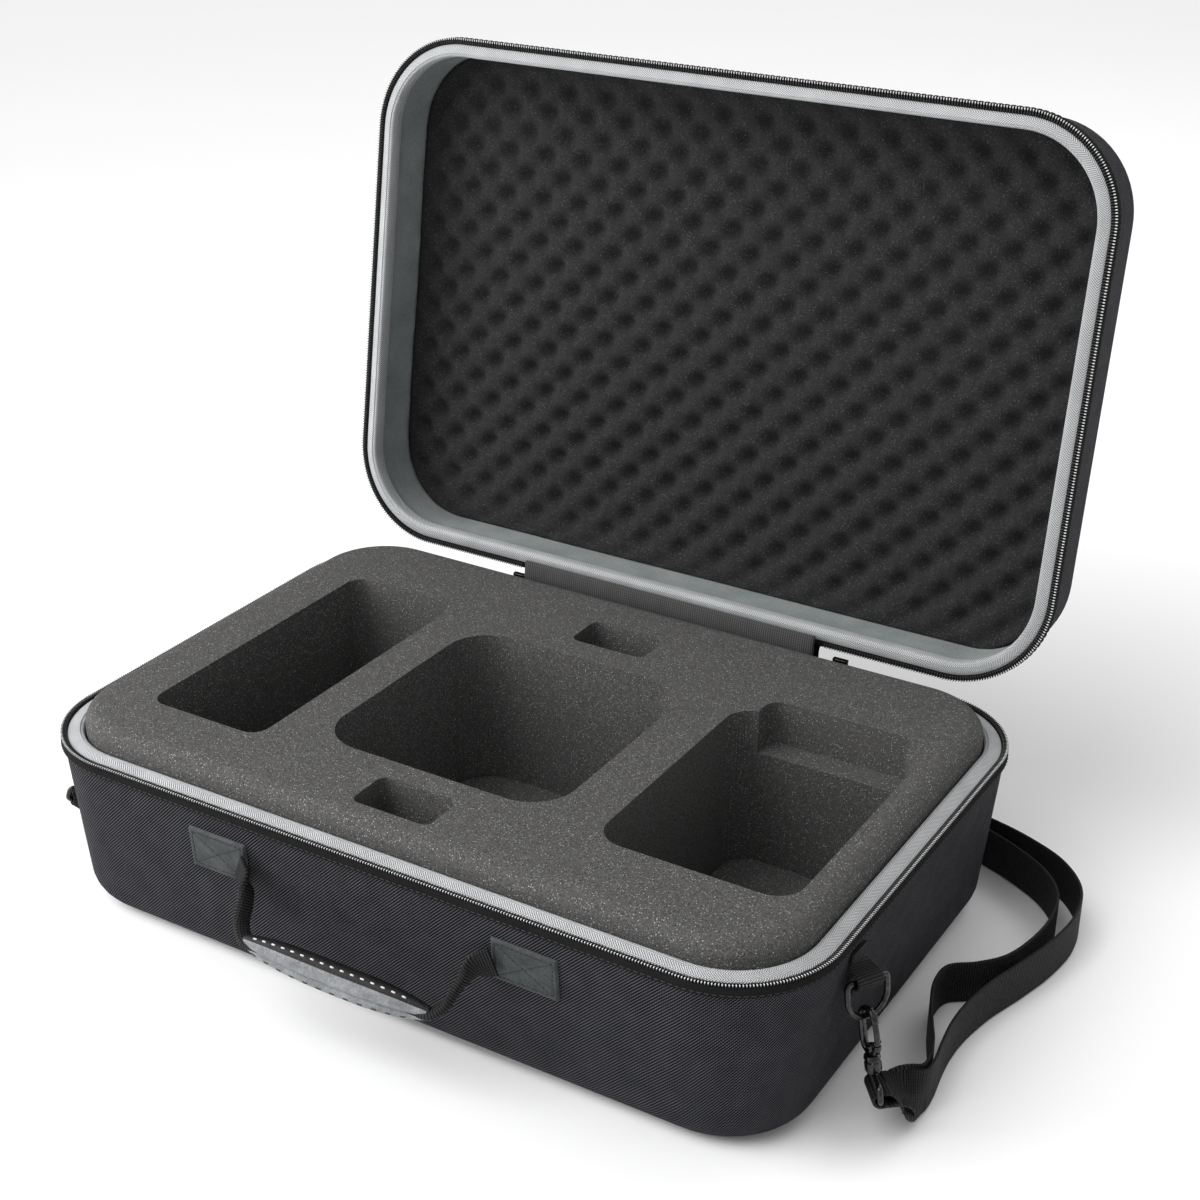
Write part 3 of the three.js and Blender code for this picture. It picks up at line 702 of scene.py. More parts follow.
def add_coil(half):
    """The coil's turns stand side by side round the rim, each a rounded bar with a swollen head, which has
    a pale painted highlight on top."""
    pitch = 0.0016
    start = HINGE_HALF_WIDTH + 0.004
    count = int((PERIMETER - 2 * start) / pitch)
    sides = 8
    first_head_ring = 3
    top_sides = (1, 2)
    rings = [
        (0.0036, 0.15), (0.0034, 0.55), (0.0026, 0.62), (0.0014, 0.66), (0.0009, 0.9), (0.0005, 0.95),
        (0.00025, 0.7), (0.0002, 0.2),
    ]
    half_width = 0.00047
    half_height = 0.00092
    middle = -0.00135
    points, faces = [], []
    for i in range(count):
        x, y, nx, ny = plan_at(start + (i + 0.5) * pitch)
        faces.extend(bar_faces(len(points), len(rings), sides))
        for inset, share in rings:
            radius = CORNER_RADIUS - inset
            for k in range(sides):
                angle = 2 * math.pi * k / sides
                sideways = half_width * share * math.cos(angle)
                up = middle + half_height * share * math.sin(angle)
                points.append((x + radius * nx + sideways * ny, y + radius * ny - sideways * nx, up))
    # Painted highlight: the top faces of each turn's head take the pale coil copy.
    painted_highlight_faces = [
        int(ring >= first_head_ring and k in top_sides)
        for ring in range(len(rings) - 1)
        for k in range(sides)
    ]
    slots = [*painted_highlight_faces, 0, 0] * count
    looks = [COIL, COIL_PAINTED_HIGHLIGHT]
    coil = new_object(f"{half}_coil", to_half(half, points), faces, looks, sharp_angle=80, slots=slots)
    settle(coil, half, f"{half}_zip_teeth")


def add_tape_stitches(half):
    """One row of black stitches along the lower edge of the zip tape."""
    pitch = 0.0036
    depth = 0.0066
    inset = wall_inset(depth) - 0.0016
    centres, directions = [], []
    for i in range(int(PERIMETER / pitch)):
        x, y, nx, ny = plan_at(i * pitch)
        radius = CORNER_RADIUS - inset
        centres.append((x + radius * nx, y + radius * ny, -depth))
        directions.append((ny, -nx, 0))
    ends = [np.array(c) + np.array(d) for c, d in zip(centres, directions)]
    middles = to_half(half, centres)
    ways = to_half(half, ends) - middles
    stitches(f"{half}_tape_stitches", middles, ways, 0.0025, 0.00032, BLACK_THREAD, half)


for half_name in ("base", "lid"):
    add_half(half_name)


# ---------- foam ----------
def rounded_rectangle(low, high, radius):
    steps = 10
    corners = [(high[0], low[1], -90), (high[0], high[1], 0), (low[0], high[1], 90), (low[0], low[1], 180)]
    points = []
    for x, y, start in corners:
        cx = x - radius if x == high[0] else x + radius
        cy = y - radius if y == high[1] else y + radius
        for i in range(steps + 1):
            angle = math.radians(start + 90 * i / steps)
            points.append((cx + radius * math.cos(angle), cy + radius * math.sin(angle)))
    return points


def prism(outline, z0, z1):
    """An upright block with the outline, to cut a pocket with."""
    count = len(outline)
    points = [(x, y, z) for z in (z0, z1) for x, y in outline]
    faces = [(i, (i + 1) % count, (i + 1) % count + count, i + count) for i in range(count)]
    faces.append(list(range(count)))
    faces.append(list(range(count, 2 * count)))
    return new_object("cutter", points, faces, FOAM)


# Each pocket's low and high corners in plan, its corner radius and the height of its floor.
POCKETS = {
    "left": ((-0.184, -0.105), (-0.108, 0.084), 0.010, 0.015),
    "centre": ((-0.082, -0.088), (0.066, 0.064), 0.026, 0.015),
    "right": ((0.096, -0.096), (0.205, 0.062), 0.016, 0.015),
    "shelf": ((0.108, 0.055), (0.196, 0.078), 0.009, 0.090),
    "front": ((-0.026, -0.131), (0.022, -0.103), 0.005, 0.070),
    "back": ((-0.026, 0.082), (0.022, 0.110), 0.005, 0.070),
}


def modify(obj, kind, **settings):
    """Adds a modifier with its settings."""
    modifier = obj.modifiers.new(kind.lower(), kind)
    for key, value in settings.items():
        setattr(modifier, key, value)


def apply_modifiers(obj):
    """Leaves the piece as the mesh that its modifiers make."""
    graph = bpy.context.evaluated_depsgraph_get()
    made = bpy.data.meshes.new_from_object(obj.evaluated_get(graph))
    obj.modifiers.clear()
    obj.data = made


def add_foam_insert():
    """The insert's soft outer edge is rounded, and each cut edge is only just softened."""
    bottom = BASE_HEIGHT - PAD_TOP - 0.0003
    fit = SHELL_THICKNESS + 0.0019
    rise = FOAM_TOP - BASE_HEIGHT
    rounding = 0.009
    middle = 0.05
    ledge = 0.012
    profile = [
        (middle, -bottom), (wall_inset(bottom) + fit, -bottom), (wall_inset(ledge) + fit, -ledge),
        (FOAM_INSET, -0.0103), (FOAM_INSET, -0.004), (FOAM_INSET, rise - rounding),
    ]
    for i in range(1, 9):
        angle = (i / 8) * (math.pi / 2)
        away = rounding * (1 - math.cos(angle))
        profile.append((FOAM_INSET + away, rise - rounding * (1 - math.sin(angle))))
    profile.append((middle, rise))
    insert = loft("foam_insert_cut", "base", profile, FOAM)
    cutters = [
        prism(rounded_rectangle(low, high, radius), floor, FOAM_TOP + 0.01)
        for low, high, radius, floor in POCKETS.values()
    ]
    for cutter in cutters:
        modify(insert, "BOOLEAN", operation="DIFFERENCE", solver="EXACT", object=cutter)
    only_edges = {"limit_method": "ANGLE", "angle_limit": math.radians(50)}
    modify(insert, "BEVEL", width=0.0016, segments=3, **only_edges, harden_normals=True)
    apply_modifiers(insert)
    for cutter in cutters:
        bpy.data.objects.remove(cutter)
    insert.data.materials.clear()
    insert.data.materials.append(FOAM)
    settle(insert, "base", "foam_insert")


def plan_grid(inset, step):
    """Rows of points that fill the outline at an inset, whose ends follow its rounded corners."""
    reach = HALF_DEPTH - inset
    width = HALF_LENGTH - inset
    radius = CORNER_RADIUS - inset
    count = round(2 * reach / step)
    edge = [reach - radius * (1 - math.cos(a)) for a in np.linspace(0, math.pi / 2, 24)]
    inner = np.linspace(-(reach - radius), reach - radius, count)[1:-1]
    rows = np.concatenate([-np.array(edge), inner, np.array(edge)[::-1]])
    grid = []
    for y in rows:
        over = max(0.0, abs(y) - (reach - radius))
        half = width - radius + math.sqrt(max(0.0, radius**2 - over**2))
        grid.append([(x, y) for x in np.linspace(-half, half, round(2 * width / step))])
    return np.array(grid)


def from_ends(count, reach):
    """Goes from 0 at both ends of a row of points to 1 at reach points from them."""
    steps = np.arange(count)
    return np.minimum(np.minimum(steps, steps[::-1]) / reach, 1)


def add_pad(name, half, node, top, look, relief):
    """A foam slab that fills the bottom of a half, with relief(x, y) giving the rise of its top."""
    distance = SHELL_THICKNESS + LINING_SPACE
    inset = wall_inset(-top) + distance + 0.0002
    grid = plan_grid(inset, 0.0021)
    rows, columns = grid.shape[:2]
    edge_rows, edge_columns, edge_drop = 14, 2, 0.003
    edge = np.minimum(from_ends(rows, edge_rows)[:, None], from_ends(columns, edge_columns)[None, :])
    z = top + relief(grid[..., 0], grid[..., 1]) - edge_drop * (1 - edge) ** 2
    points = [tuple(p) for p in np.dstack([grid, z]).reshape(-1, 3)]
    index = np.arange(rows * columns).reshape(rows, columns)
    faces = [
        (index[r, c], index[r, c + 1], index[r + 1, c + 1], index[r + 1, c])
        for r in range(rows - 1)
        for c in range(columns - 1)
    ]
    border = list(index[0, :]) + list(index[1:, -1]) + list(index[-1, -2::-1]) + list(index[-2:0:-1, 0])
    bottom = distance + 0.0004 - HALF_HEIGHT[half]
    taper_x, taper_y = 0.965, 0.955
    first = len(points)
    for i in border:
        x, y, _ = points[i]
        points.append((x * taper_x, y * taper_y, bottom))
    count = len(border)
    for k in range(count):
        n = (k + 1) % count
        faces.append((border[k], border[n], first + n, first + k))
    faces.append([first + k for k in range(count)])
    faces = [[int(i) for i in face] for face in faces]
    pad = new_object(name, to_half(half, points), faces, look, sharp_angle=60)
    settle(pad, half, node)


def egg_crate(x, y):
    """Rounded hollows in staggered rows, as convoluted foam is cut, which fade out before its edge."""
    lattice = np.cos(2 * math.pi * x / EGG_PITCH) * np.cos(2 * math.pi * y / EGG_PITCH)
    fade = 0.018
    corner = 0.03
    margin = LID_FOAM_INSET + fade + corner
    past_x = np.maximum(np.abs(x) - (HALF_LENGTH - margin), 0)
    past_y = np.maximum(np.abs(y) - (HALF_DEPTH - margin), 0)
    inside = np.clip((corner + fade - np.hypot(past_x, past_y)) / fade, 0, 1)
    uneven = 0.0005 * np.sin(x * 37 + 1) * np.sin(y * 53 + 2)
    return -EGG_HEIGHT * (0.5 - 0.5 * lattice) ** 2.2 * inside**0.8 + uneven


def gentle(x, y):
    """The slightly uneven top of a plain slab."""
    return 0.0004 * np.sin(x * 41) * np.sin(y * 57 + 1) - 0.0004


add_foam_insert()
floor_pad_top = PAD_TOP - BASE_HEIGHT
lid_foam_top = SHELL_THICKNESS + LINING_SPACE + LID_FOAM_THICKNESS - LID_HEIGHT
add_pad("floor_pad_foam", "base", "foam_floor_pad", floor_pad_top, FOAM, gentle)
add_pad("lid_egg_crate", "lid", "lid_foam", lid_foam_top, LID_FOAM, egg_crate)


# ---------- fabric hinge ----------
def add_hinge():
    """A ribbed gusset inside the fold, and the black tape that closes the gap behind it."""
    inner = spline([
        (0, 0.1484, 0.0965), (0, 0.1478, 0.1020), (0, 0.1474, 0.1080), (0, 0.1474, 0.1140),
        (0, 0.1480, 0.1190), (0, 0.1492, 0.1225),
    ], 0.0015)
    outer = spline([
        (0, 0.1580, 0.0900), (0, 0.1588, 0.0970), (0, 0.1594, 0.1040), (0, 0.1600, 0.1086),
        (0, 0.1628, 0.1112), (0, 0.1690, 0.1112), (0, 0.1760, 0.1100),
    ], 0.0015)
    for name, path, look, width in (
        ("hinge_gusset", inner, GUSSET, 2 * HINGE_HALF_WIDTH),
        ("hinge_outer_tape", outer, TAPE, 2 * HINGE_HALF_WIDTH - 0.004),
    ):
        reach = np.linspace(0, width, 60)
        along = lengths(path)
        shape = [[p + np.array([x - width / 2, 0, 0]) for x in reach] for p in path]
        uv = [[(x, d) for x in reach] for d in along]
        sheet = surface(name, shape, uv, look)
        modify(sheet, "SOLIDIFY", thickness=0.0010, offset=0)
        apply_modifiers(sheet)
        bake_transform(sheet)
        if name == "hinge_gusset":
            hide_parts("hinge_panel")


add_hinge()


# ---------- carry handle ----------
def front_wall(z):
    """Where the front of the shell stands at a height."""
    return -(HALF_DEPTH - wall_inset(BASE_HEIGHT - z))


def add_patch(side, name):
    """A leatherette patch with a sewn box and cross, standing off the wall by its own thickness."""
    width, height, thickness = 0.038, 0.025, 0.0017
    centre_z = 0.073
    middle = Vector((side * 0.095, front_wall(centre_z) - 0.0003, centre_z))
    seam_inset = 0.0026
    box_x, box_z = width / 2 - seam_inset, height / 2 - seam_inset
    diagonal = math.atan2(box_z, box_x)
    lean = math.atan(DRAFT)

    def place(x, z, out):
        y = -out * math.cos(lean) - z * math.sin(lean)
        return middle + Vector((x, y, z * math.cos(lean) - out * math.sin(lean)))

    def out_at(x, z):
        edge = min(width / 2 - abs(x), height / 2 - abs(z))
        rise = thickness * min(1, max(0.0, edge) / 0.0009) ** 0.5
        sides = abs(abs(x) - box_x) if abs(z) <= box_z else 1
        ends = abs(abs(z) - box_z) if abs(x) <= box_x else 1
        box = min(sides, ends)
        cross = abs(abs(x) * math.sin(diagonal) - abs(z) * math.cos(diagonal)) if abs(x) < box_x else 1
        seam = 0.00045 * max(math.exp(-((box / 0.0005) ** 2)), 0.8 * math.exp(-((cross / 0.0006) ** 2)))
        return max(rise - seam * (edge > 0.0006), 0.0)

    xs = np.linspace(-width / 2, width / 2, 58)
    zs = np.linspace(-height / 2, height / 2, 40)
    grid = [[place(x, z, out_at(x, z)) for x in xs] for z in zs]
    uv = [[(x, z) for x in xs] for z in zs]
    settle(surface(f"{name}_leather", grid, uv, LEATHER, sharp_angle=75), "base", name)
    corners = [(-box_x, -box_z), (box_x, -box_z), (box_x, box_z), (-box_x, box_z)]
    box_lines = list(zip(corners, corners[1:] + corners[:1]))
    cross_lines = [(corners[0], corners[2]), (corners[3], corners[1])]
    centres, directions = [], []
    for (x0, z0), (x1, z1) in box_lines + cross_lines:
        count = round(math.hypot(x1 - x0, z1 - z0) / 0.0027)
        for i in range(count):
            share = (i + 0.5) / count
            centres.append(place(x0 + (x1 - x0) * share, z0 + (z1 - z0) * share, thickness - 0.0003))
            directions.append(place(x1, z1, 0) - place(x0, z0, 0))
    stitches(f"{name}_stitches", centres, directions, 0.0021, 0.0003, BLACK_THREAD, "base")


HANDLE_PIVOT = np.array([-0.1605, 0.072])
GRIP_MIDDLE = np.array([-0.182, 0.048])
GRIP_HALF = 0.0575


def between(x, share):
    """A point at x, part of the way from the handle's pivot to the middle of its grip."""
    return (x, *(HANDLE_PIVOT + (GRIP_MIDDLE - HANDLE_PIVOT) * share))


def add_handle_strap(side, suffix):
    """Flat where it leaves the patch, then folded and turned on edge into the end of the grip."""
    control = [
        between(side * x, share)
        for x, share in (
            (0.079, -0.06), (0.0745, 0.02), (0.071, 0.10), (0.0665, 0.45),
            (0.0635, 0.78), (0.0575, 0.98), (0.050, 1.0), (0.044, 1.0),
        )
    ]
    path = spline(control, 0.0014)
    share = np.linspace(0, 1, len(path))
    turn = np.interp(share, [0, 0.2, 0.6, 1], [0.0, 0.15, 1.35, 1.5])
    up = np.array([0, 0.1, 1.0])
    out = np.array([side * 0.4, -1.0, -0.2])
    across = np.cos(turn)[:, None] * up + np.sin(turn)[:, None] * out
    fold = [0, 0.12, 0.35, 0.6, 1]
    width = np.interp(share, fold, [0.016, 0.015, 0.0105, 0.0085, 0.0075])
    thickness = np.interp(share, fold, [0.0018, 0.0028, 0.0052, 0.0052, 0.005])
    strap = ribbon(f"handle_strap_{suffix}", path, across, WEBBING, width, thickness)
    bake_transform(strap)
    return strap


def on_grip(x, angle, crease=1):
    """A point of the grip's round, which narrows and rises towards its ends."""
    t = abs(x) / GRIP_HALF
    full = max(0.0, 1 - t**3.2)
    deep = (0.0028 + 0.0037 * full) * crease
    tall = (0.0035 + 0.0057 * full) * crease
    rise = -0.0010 + 0.0016 * t**2
    return x, GRIP_MIDDLE[0] + deep * math.cos(angle), GRIP_MIDDLE[1] + rise + tall * math.sin(angle)


def crease_at(angle):
    """The share of the grip's round left by a deep crease behind and a faint one in front."""
    deep, faint = (math.exp(-(((angle - crease) / 0.1) ** 2)) for crease in (3.3, 2.3))
    return 1 - 0.34 * deep - 0.05 * faint


def add_grip():
    """The soft grip: black above and below a pale band of painted reflection inside its stitch lines, with
    plain black ends.
    """
    columns, rows = 40, 60
    end_rows = 3
    angles = round_circle(columns)
    xs = GRIP_HALF * np.sin(np.linspace(-math.pi / 2, math.pi / 2, rows))
    points = [[on_grip(x, a, crease_at(a)) for a in angles] for x in xs]
    uv = [[(x, 0.007 * a) for a in np.append(angles, 2 * math.pi)] for x in xs]
    looks = [GRIP_BLACK, GRIP_PAINTED_REFLECTION]
    grip = surface("handle_grip_pad", points, uv, looks, wrap_columns=True, caps=True, sharp_angle=70)
    # Painted reflection: faces between angles 2.3 and 4.6, the grip's front and underside, take the pale
    # copy.
    slots = [
        int(2.3 < angle < 4.6 and end_rows <= row < rows - 1 - end_rows)
        for row in range(rows - 1)
        for angle in angles + math.pi / columns
    ]
    grip.data.polygons.foreach_set("material_index", [*slots, 0, 0])
    settle(grip, "handle", "handle_grip")
    for name, angle, pitch, length, look in (
        ("grip_stitches_white", 1.95, 0.0062, 0.0024, WHITE_THREAD),
        ("grip_stitches_black", 3.72, 0.0085, 0.0034, BLACK_THREAD),
    ):
        xs = np.arange(-GRIP_HALF * 0.86, GRIP_HALF * 0.86, pitch)
        centres = [on_grip(x, angle) for x in xs]
        ways = [np.subtract(on_grip(x + 0.001, angle), centre) for x, centre in zip(xs, centres)]
        stitches(name, centres, ways, length, 0.0005, look, "handle")


for patch_side, patch_suffix in SIDES:
    add_patch(patch_side, f"handle_patch_{patch_suffix}")
handle_straps = [add_handle_strap(*strap_side) for strap_side in SIDES]
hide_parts("handle_webbing")
add_grip()


# ---------- strap hardware ----------
RING_BAR = (0.241, -0.084, 0.079)
SWIVEL = (0.238695, -0.082669, 0.078434)
SWIVEL_AXIS = (-0.239, 0.138, 0.961)
EYE_ACROSS = (0.5286, -0.8119, 0.2481)


def hardware_frames(side):
    """The frames of the ring, the hook and the eye, on the right or mirrored for the left: each is an
    origin and three axes."""
    mirror = np.array([side, 1, 1])
    bar = np.array([0.5, side * 0.866, 0.0])
    hook_z = mirror * SWIVEL_AXIS
    return {
        "ring": (mirror * RING_BAR, mirror * (0.858, -0.495, 0.139), bar, mirror * (-0.121, 0.07, 0.99)),
        "hook": (mirror * SWIVEL, mirror * (0.832, -0.481, 0.276), bar, hook_z),
        "eye": (mirror * SWIVEL, mirror * EYE_ACROSS, mirror * np.cross(SWIVEL_AXIS, EYE_ACROSS), hook_z),
    }


def upright(origin):
    """A frame with the case's own axes."""
    return (origin, *np.eye(3))


def placed(frame_axes, points):
    """Points in a local frame."""
    origin, x, y, z = frame_axes
    points = np.asarray(points, float)
    return origin + points[:, :1] * x + points[:, 1:2] * y + points[:, 2:3] * z


def placed_flat(frame_axes, line):
    """Points (x, z) in a local frame."""
    return placed(frame_axes, [(x, 0, z) for x, z in line])


def arc(radius, middle_z, start, end, count):
    """Points (x, z) of an arc about a point on the z axis."""
    return [(radius * math.cos(a), middle_z + radius * math.sin(a)) for a in np.linspace(start, end, count)]


def rounded_loop(corners, radius):
    """A closed line round flat corners (a, b), each turned on the radius."""
    corners = np.array(corners, float)
    line = []
    for corner, last, following in zip(corners, np.roll(corners, 1, axis=0), np.roll(corners, -1, axis=0)):
        start = corner + unit(last - corner) * radius
        end = corner + unit(following - corner) * radius
        for t in np.linspace(0, 1, 7):
            line.append((1 - t) ** 2 * start + 2 * t * (1 - t) * corner + t**2 * end)
    return np.array(line)


def close_line(line, step):
    """A closed line's points at even distances, without its first point again."""
    return resample(np.vstack([line, line[:1]]), step)[:-1]


def rounded_frame(half_width, low, high, radius, step):
    """The middle line (x, z) of an oblong loop of wire."""
    corners = [(-half_width, high), (half_width, high), (half_width, low), (-half_width, low)]
    return close_line(rounded_loop(corners, radius), step)


def join(name, parts):
    """One piece made of several meshes."""
    merged = bmesh.new()
    for part in parts:
        merged.from_mesh(part.data)
    mesh = bpy.data.meshes.new(name)
    merged.to_mesh(mesh)
    merged.free()
    mesh.materials.append(parts[0].data.materials[0])
    for part in parts:
        bpy.data.objects.remove(part)
    return add_object(name, mesh)


def lathe(name, frame_axes, profile, sides=28):
    """Turns (radius, z) points about the frame's z."""
    angles = round_circle(sides)
    rows = [placed(frame_axes, [(r * math.cos(a), r * math.sin(a), z) for a in angles]) for r, z in profile]
    uv = [[(0.001 * k, z) for k in range(sides + 1)] for r, z in profile]
    return surface(name, rows, uv, METAL, wrap_columns=True, caps=True)


def flat_block(name, frame_axes, centre, size, bevel):
    """A small block with softened edges, in a local frame."""
    x, y, z = (s / 2 for s in size)
    corners = [(a * x, b * y, c * z) for c in (-1, 1) for a, b in ((-1, -1), (1, -1), (1, 1), (-1, 1))]
    points = placed(frame_axes, np.array(corners) + np.array(centre))
    faces = [(0, 1, 2, 3), (4, 5, 6, 7), (0, 1, 5, 4), (1, 2, 6, 5), (2, 3, 7, 6), (3, 0, 4, 7)]
    block = new_object(name, points, faces, METAL)
    modify(block, "BEVEL", width=bevel, segments=3)
    apply_modifiers(block)
    return block


WIRE = 0.0015
HOOK_TOP, HOOK_BOTTOM = -0.0141, -0.0401
HOOK_REACH = 0.0055
GATE_TOP, GATE_BOTTOM = HOOK_TOP - 0.008, HOOK_BOTTOM + 0.007


def add_ring(frame_axes, suffix):
    """Straight along its bar, square at the shoulders and drawn down to a rounded foot."""
    half_width, shoulder, foot = 0.0115, -0.008, -0.0195
    outline = [(-half_width, 0), (half_width, 0), (half_width, shoulder), (0, foot), (-half_width, shoulder)]
    top = [p for p in rounded_loop(outline, 0.0022) if p[1] > -0.0045]
    line = np.array([*top, *arc(half_width, shoulder, 0, -math.pi, 25)])
    order = np.argsort(np.arctan2(line[:, 1] - shoulder, line[:, 0]))
    loop = close_line(line[order], 0.0011)
    path = placed(frame_axes, [(0, a, b) for a, b in loop])
    ring = tube(f"d_ring_{suffix}_wire", path, WIRE, METAL, frame_axes[1], closed=True, sides=14)
    settle(ring, f"ring_{suffix}", f"d_ring_{suffix}")


def add_hook(frame_axes, suffix):
    """A bent wire, open on the gate's side, over a turned barrel."""
    y = frame_axes[2]
    bend = 0.007
    upper = arc(HOOK_REACH, HOOK_TOP - bend, 0, math.pi, 17)
    lower = arc(HOOK_REACH, HOOK_BOTTOM + bend, math.pi, 2 * math.pi, 17)
    line = [(HOOK_REACH, GATE_TOP + 0.0002), *upper, *lower, (HOOK_REACH, GATE_BOTTOM - 0.0002)]
    path = placed_flat(frame_axes, resample(line, 0.0009))
    body = tube("hook_wire", path, (WIRE, 0.002), METAL, y, sides=16)
    turned = [
        (0.0030, 0.0014), (0.0040, 0.0008), (0.0042, -0.0008), (0.0036, -0.0014), (0.0036, -0.0022),
        (0.0042, -0.0028), (0.0042, -0.0066), (0.0038, -0.0076), (0.0026, -0.0080),
    ]
    barrel = lathe("hook_barrel", frame_axes, [(r, HOOK_BOTTOM + z) for r, z in turned])
    hook = join(f"snap_hook_{suffix}_body", [body, barrel])
    settle(hook, f"hook_{suffix}", f"snap_hook_{suffix}")


def add_gate(frame_axes, suffix):
    """The hook's sprung lever and the rivet that it turns on."""
    _, x, y, z = frame_axes
    gap = 0.0002
    shares = np.linspace(0, 1, 14)
    heights = GATE_BOTTOM + gap + (GATE_TOP - GATE_BOTTOM - 2 * gap) * shares
    bow = zip(HOOK_REACH + 0.0004 * np.sin(math.pi * shares), heights)
    bar = tube("gate_bar", placed_flat(frame_axes, bow), (0.0012, 0.0016), METAL, y, sides=14)
    rivet_middle = placed_flat(frame_axes, [(HOOK_REACH, GATE_BOTTOM + 0.0016)])[0]
    turned = [(0.0006, -0.0021), (0.0009, -0.0018), (0.0009, 0.0018), (0.0006, 0.0021)]
    rivet = lathe("gate_rivet", (rivet_middle, x, z, y), turned, 16)
    gate = join(f"hook_gate_{suffix}_lever", [bar, rivet])
    settle(gate, f"gate_{suffix}", f"hook_gate_{suffix}")


def add_eye(frame_axes, suffix):
    """The strap's oblong loop and the stem that turns in the hook's barrel."""
    low, high = -0.0596 + WIRE, -0.0486 - WIRE
    loop = rounded_frame(0.0165 - WIRE, low, high, 0.0028, 0.0011)
    path = placed_flat(frame_axes, loop)
    wire = tube("eye_wire", path, WIRE, METAL, frame_axes[2], closed=True, sides=14)
    head = [(0.0019, 0.0048), (0.0028, 0.0050), (0.0029, 0.0056), (0.0022, 0.0062)]
    turned = [(0.0019, high), *((r, HOOK_BOTTOM + z) for r, z in head)]
    eye = join(f"strap_eye_{suffix}_wire", [wire, lathe("eye_stem", frame_axes, turned, 20)])
    settle(eye, f"eye_{suffix}", f"strap_eye_{suffix}")


def add_ring_tab(side, suffix):
    """A short webbing loop, sewn to the wall above and below the ring's bar."""
    bar = np.array([side, 1, 1]) * RING_BAR
    out = np.array([side * 0.866, -0.5, 0])
    along_bar = np.array([0.5, side * 0.866, 0])
    wall_way = np.array([0, side * 1.0, 0])
    line = [
        (-0.0078, 0.0130), (-0.0077, 0.0095), (-0.0070, 0.0062), (-0.0040, 0.0040), (0.0, 0.0035),
        (0.0025, 0.0025), (0.0035, 0.0), (0.0025, -0.0025), (0.0, -0.0035), (-0.0040, -0.0040),
        (-0.0068, -0.0062), (-0.0074, -0.0090),
    ]
    path = spline([bar + a * out + np.array([0, 0, b]) for a, b in line], 0.0009)
    reach = np.clip((path - bar) @ out / line[0][0], 0, 1)[:, None]
    across = (1 - reach) * along_bar + reach * wall_way
    tab = ribbon(f"ring_tab_{suffix}_loop", path, across, WEBBING, 0.0150, 0.0015)
    settle(tab, "base", f"ring_tab_{suffix}")


for hardware_side, hardware_suffix in SIDES:
    frames = hardware_frames(hardware_side)
    add_ring(frames["ring"], hardware_suffix)
    add_hook(frames["hook"], hardware_suffix)
    add_gate(frames["hook"], hardware_suffix)
    add_eye(frames["eye"], hardware_suffix)
    add_ring_tab(hardware_side, hardware_suffix)

# ---------- shoulder strap ----------
# Middle lines of the webbing on edge, in plan. The long run goes from the right eye round the back to
# the left eye, the return from the right eye to the adjuster, and the tail is sewn short at the left.
STRAP_ROUTE = [
    (0.2655, -0.0795), (0.2690, -0.0695), (0.2685, -0.0560), (0.2662, -0.0410), (0.2645, -0.0250),
    (0.2648, -0.0070), (0.269, 0.018), (0.277, 0.045), (0.2835, 0.072), (0.2855, 0.100), (0.279, 0.126),
    (0.262, 0.146), (0.240, 0.158), (0.212, 0.167), (0.178, 0.172), (0.110, 0.175), (0.0, 0.176),
    (-0.110, 0.175), (-0.178, 0.172), (-0.222, 0.160), (-0.250, 0.132), (-0.263, 0.092), (-0.268, 0.040),
    (-0.268, -0.020), (-0.2690, -0.0460), (-0.2700, -0.0590), (-0.2690, -0.0695), (-0.2655, -0.0795),
]
RETURN_ROUTE = [
    (0.2628, -0.0772), (0.2658, -0.0682), (0.2655, -0.0560), (0.2620, -0.0430), (0.2555, -0.0290),
    (0.2485, -0.0130), (0.2435, 0.0040), (0.2445, 0.019), (0.256, 0.029), (0.267, 0.043), (0.2735, 0.066),
    (0.275, 0.090), (0.270, 0.114), (0.256, 0.132), (0.234, 0.146), (0.205, 0.158), (0.175, 0.1645),
    (0.140, 0.1672),
]
TAIL_ROUTE = [(-0.2628, -0.0772), (-0.2658, -0.0682), (-0.2668, -0.0590)]
RISES = (0.0045, 0.0014)  # how far the first points of each route are above the strap's middle
BACK_MIDDLE = STRAP_ROUTE.index((0.0, 0.176))
EYE_BAR_DEPTH = 0.0581
BAR_CLEARANCE = 0.0030
STRAP_STEP = 0.0026
LOOP_REACH = 0.017
NECK_REACH = 0.036
TWIST_START = 0.004
TWIST_LENGTH = 0.030


def eye_bar(side):
    """The middle of the bar that the webbing turns round, and the eye's axes."""
    origin, eye_x, eye_y, eye_z = hardware_frames(side)["eye"]
    return origin - EYE_BAR_DEPTH * eye_z, eye_x, eye_y, eye_z


